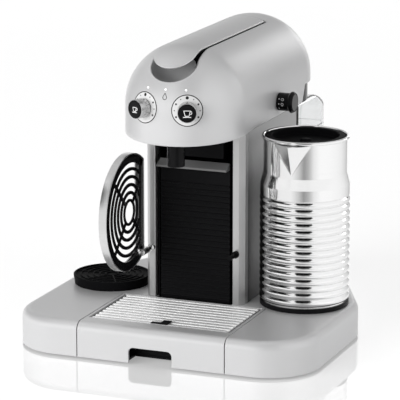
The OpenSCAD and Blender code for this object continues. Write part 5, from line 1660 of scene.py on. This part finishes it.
def strip_material():
    """The low curved board: a pale grey that changes with the direction from the jug's axis."""
    material = card_material("curved card", 1.0)
    tree = material.node_tree
    axis = middle_of("jug_foot_ring") * MM
    about = add(tree, "ShaderNodeVectorMath", {0: object_place(tree), 1: tuple(axis)}, operation="SUBTRACT")
    turn = add(tree, "ShaderNodeVectorRotate", {"Vector": about.outputs[0], "Angle": math.radians(90 - CAMERA_TURN)},
               rotation_type="Z_AXIS")
    share = add(tree, "ShaderNodeTexGradient", {"Vector": turn.outputs[0]}, gradient_type="RADIAL")
    ramp = add(tree, "ShaderNodeValToRGB", {"Fac": share.outputs["Fac"]})
    stops = ramp.color_ramp.elements
    for offset, level in STRIP_TONES:
        stop = stops.new(0.5 + offset / 360)
        stop.color = (level, level, level, 1)
    stops.remove(stops[0])
    stops.remove(stops[-1])
    feed(tree, tree.nodes["Principled BSDF"], {"Emission Color": ramp.outputs["Color"], "Emission Strength": 1.1})
    return material


def soft_lamp(name, place, target, size, power):
    """A rectangular soft lamp that looks at a point; lengths in millimetres."""
    light = bpy.data.lights.new(name, "AREA")
    light.shape = "RECTANGLE"
    light.size, light.size_y = size[0] * MM, size[1] * MM
    light.energy = power
    lamp = linked(name, light)
    lamp.visible_glossy = lamp.visible_camera = False
    lamp.location = Vector(place) * MM
    lamp.rotation_euler = (Vector(place) - Vector(target)).to_track_quat("Z", "Y").to_euler()


class COFFEE_OT_stage(Operator):
    """Sets the floor, the soft light, the reflection boards and the camera"""
    bl_idname = "coffee.stage"
    bl_label = "Studio"

    def execute(self, context):
        scene = context.scene
        stage = scene.coffee_stage
        stage_plane("studio_floor", (0, 0, 0), (1, 0, 0), (0, 1, 0), (30000, 30000),
                    floor_material(tuple(stage.floor_colour)))
        self.surroundings(scene, stage.world)
        self.cards()
        target = (0, -20, 150)  # near the machine's middle
        soft_lamp("key_lamp", (-1200, -2230, 750), target, (2600, 1400), stage.key_power)
        soft_lamp("side_lamp", (2000, -100, 700), target, (1500, 1500), stage.side_power)
        self.camera(scene, stage)
        scene.view_settings.view_transform = "Standard"
        return {"FINISHED"}

    @staticmethod
    def surroundings(scene, strength):
        """Pale grey light from all round, white where it is looked at or mirrored."""
        world = bpy.data.worlds.new("studio surroundings")
        world.use_nodes = True
        tree = world.node_tree
        feed(tree, tree.nodes["Background"],
             {"Color": (1, 1, 1, 1), "Strength": ranged(tree, seen_directly(tree), low=strength)})
        scene.world = world

    @staticmethod
    def cards():
        """Boards round the machine that only glossy surfaces see, which give metal its dark lines and grey areas."""
        shades = (("dark", 0.01), ("grey", 0.12), ("pale", 0.66), ("bright", 3.2), ("middle", 0.56))
        dark, grey, pale, bright, middle = [card_material(name + " card", shade) for name, shade in shades]
        up = (0, 0, 1)
        # Each row: name, centre, direction to the right, direction up, width and height, material.
        rows = (("card_middle", (376, -992, 1149), (0.962, 0.272, 0), (-0.216, 0.762, 0.610), (860, 1500), dark),
                ("card_right", (270, 420, 330), (-0.95, 0.31, 0), up, (170, 660), grey),
                ("card_left", (-700, -800, 940), (0.68, -0.73, 0), up, (1100, 900), dark),
                ("card_top", (0, 300, 1500), (1, 0, 0), (0, 1, 0), (1800, 1500), pale),
                ("card_back", (-426, 1070, 1223), (0.93, 0.37, 0), (0.269, -0.675, 0.689), (2600, 1240), middle),
                ("card_head", (-420, -60, 350), (0, 1, 0), up, (380, 480), grey),
                ("card_band", (577, 1354, 640), (0.935, -0.355, 0), up, (1000, 500), bright))
        for board in [*[stage_plane(*row) for row in rows], curved_card()]:
            for ray in ("camera", "diffuse", "transmission", "volume_scatter", "shadow"):
                setattr(board, "visible_" + ray, False)

    @staticmethod
    def camera(scene, stage):
        """A long lens that looks at the machine's middle from the right of its front, a little from above."""
        aim, distance = Vector((-17.2, -13.3, 128.8)), 2700
        data = bpy.data.cameras.new("camera")
        data.sensor_width, data.lens = 36.0, 234.4
        data.clip_end = 50.0
        camera = linked("camera", data)
        level = math.cos(stage.elevation)
        back = Vector((math.sin(stage.azimuth) * level, -math.cos(stage.azimuth) * level, math.sin(stage.elevation)))
        camera.location = (aim + back * distance) * MM
        camera.rotation_euler = back.to_track_quat("Z", "Y").to_euler()
        scene.camera = camera


# ---------------------------------------------------------------- panel, registration and run

STEPS = (COFFEE_OT_base, COFFEE_OT_drawer, COFFEE_OT_column, COFFEE_OT_container, COFFEE_OT_head, COFFEE_OT_lever,
         COFFEE_OT_dials, COFFEE_OT_milk_knob, COFFEE_OT_cup_support, COFFEE_OT_warmer, COFFEE_OT_jug, COFFEE_OT_tank,
         COFFEE_OT_stage)
GROUPS = {"coffee_colours": CoffeeColours, "coffee_head": CoffeeHeadSizes, "coffee_lever": CoffeeLeverSizes,
          "coffee_base": CoffeeBaseSizes, "coffee_grid": CoffeeGridSizes, "coffee_jug": CoffeeJugSizes,
          "coffee_dials": CoffeeDialSizes, "coffee_support": CoffeeSupportSizes, "coffee_tank": CoffeeTankSizes,
          "coffee_stage": CoffeeStageSizes}


class COFFEE_PT_machine(Panel):
    """Lists the machine's parts and the sizes and colours that go with them"""
    bl_idname = "COFFEE_PT_machine"
    bl_label = "Capsule coffee machine"
    bl_space_type = "VIEW_3D"
    bl_region_type = "UI"
    bl_category = "Coffee"

    def draw(self, context):
        for step in STEPS:
            self.layout.operator(step.bl_idname)
        for name in GROUPS:
            group = getattr(context.scene, name)
            box = self.layout.box()
            box.label(text=name.replace("coffee_", "").replace("_", " ").capitalize())
            for prop in group.bl_rna.properties:
                if prop.identifier not in {"rna_type", "name"}:
                    box.prop(group, prop.identifier)


def register():
    for kind in (*GROUPS.values(), *STEPS, COFFEE_PT_machine):
        bpy.utils.register_class(kind)
    for name, kind in GROUPS.items():
        setattr(bpy.types.Scene, name, bpy.props.PointerProperty(type=kind))


def unregister():
    for name in GROUPS:
        delattr(bpy.types.Scene, name)
    for kind in reversed((*GROUPS.values(), *STEPS, COFFEE_PT_machine)):
        bpy.utils.unregister_class(kind)


def main():
    register()
    for step in STEPS:
        group, name = step.bl_idname.split(".")
        getattr(getattr(bpy.ops, group), name)()


if __name__ == "__main__":
    main()
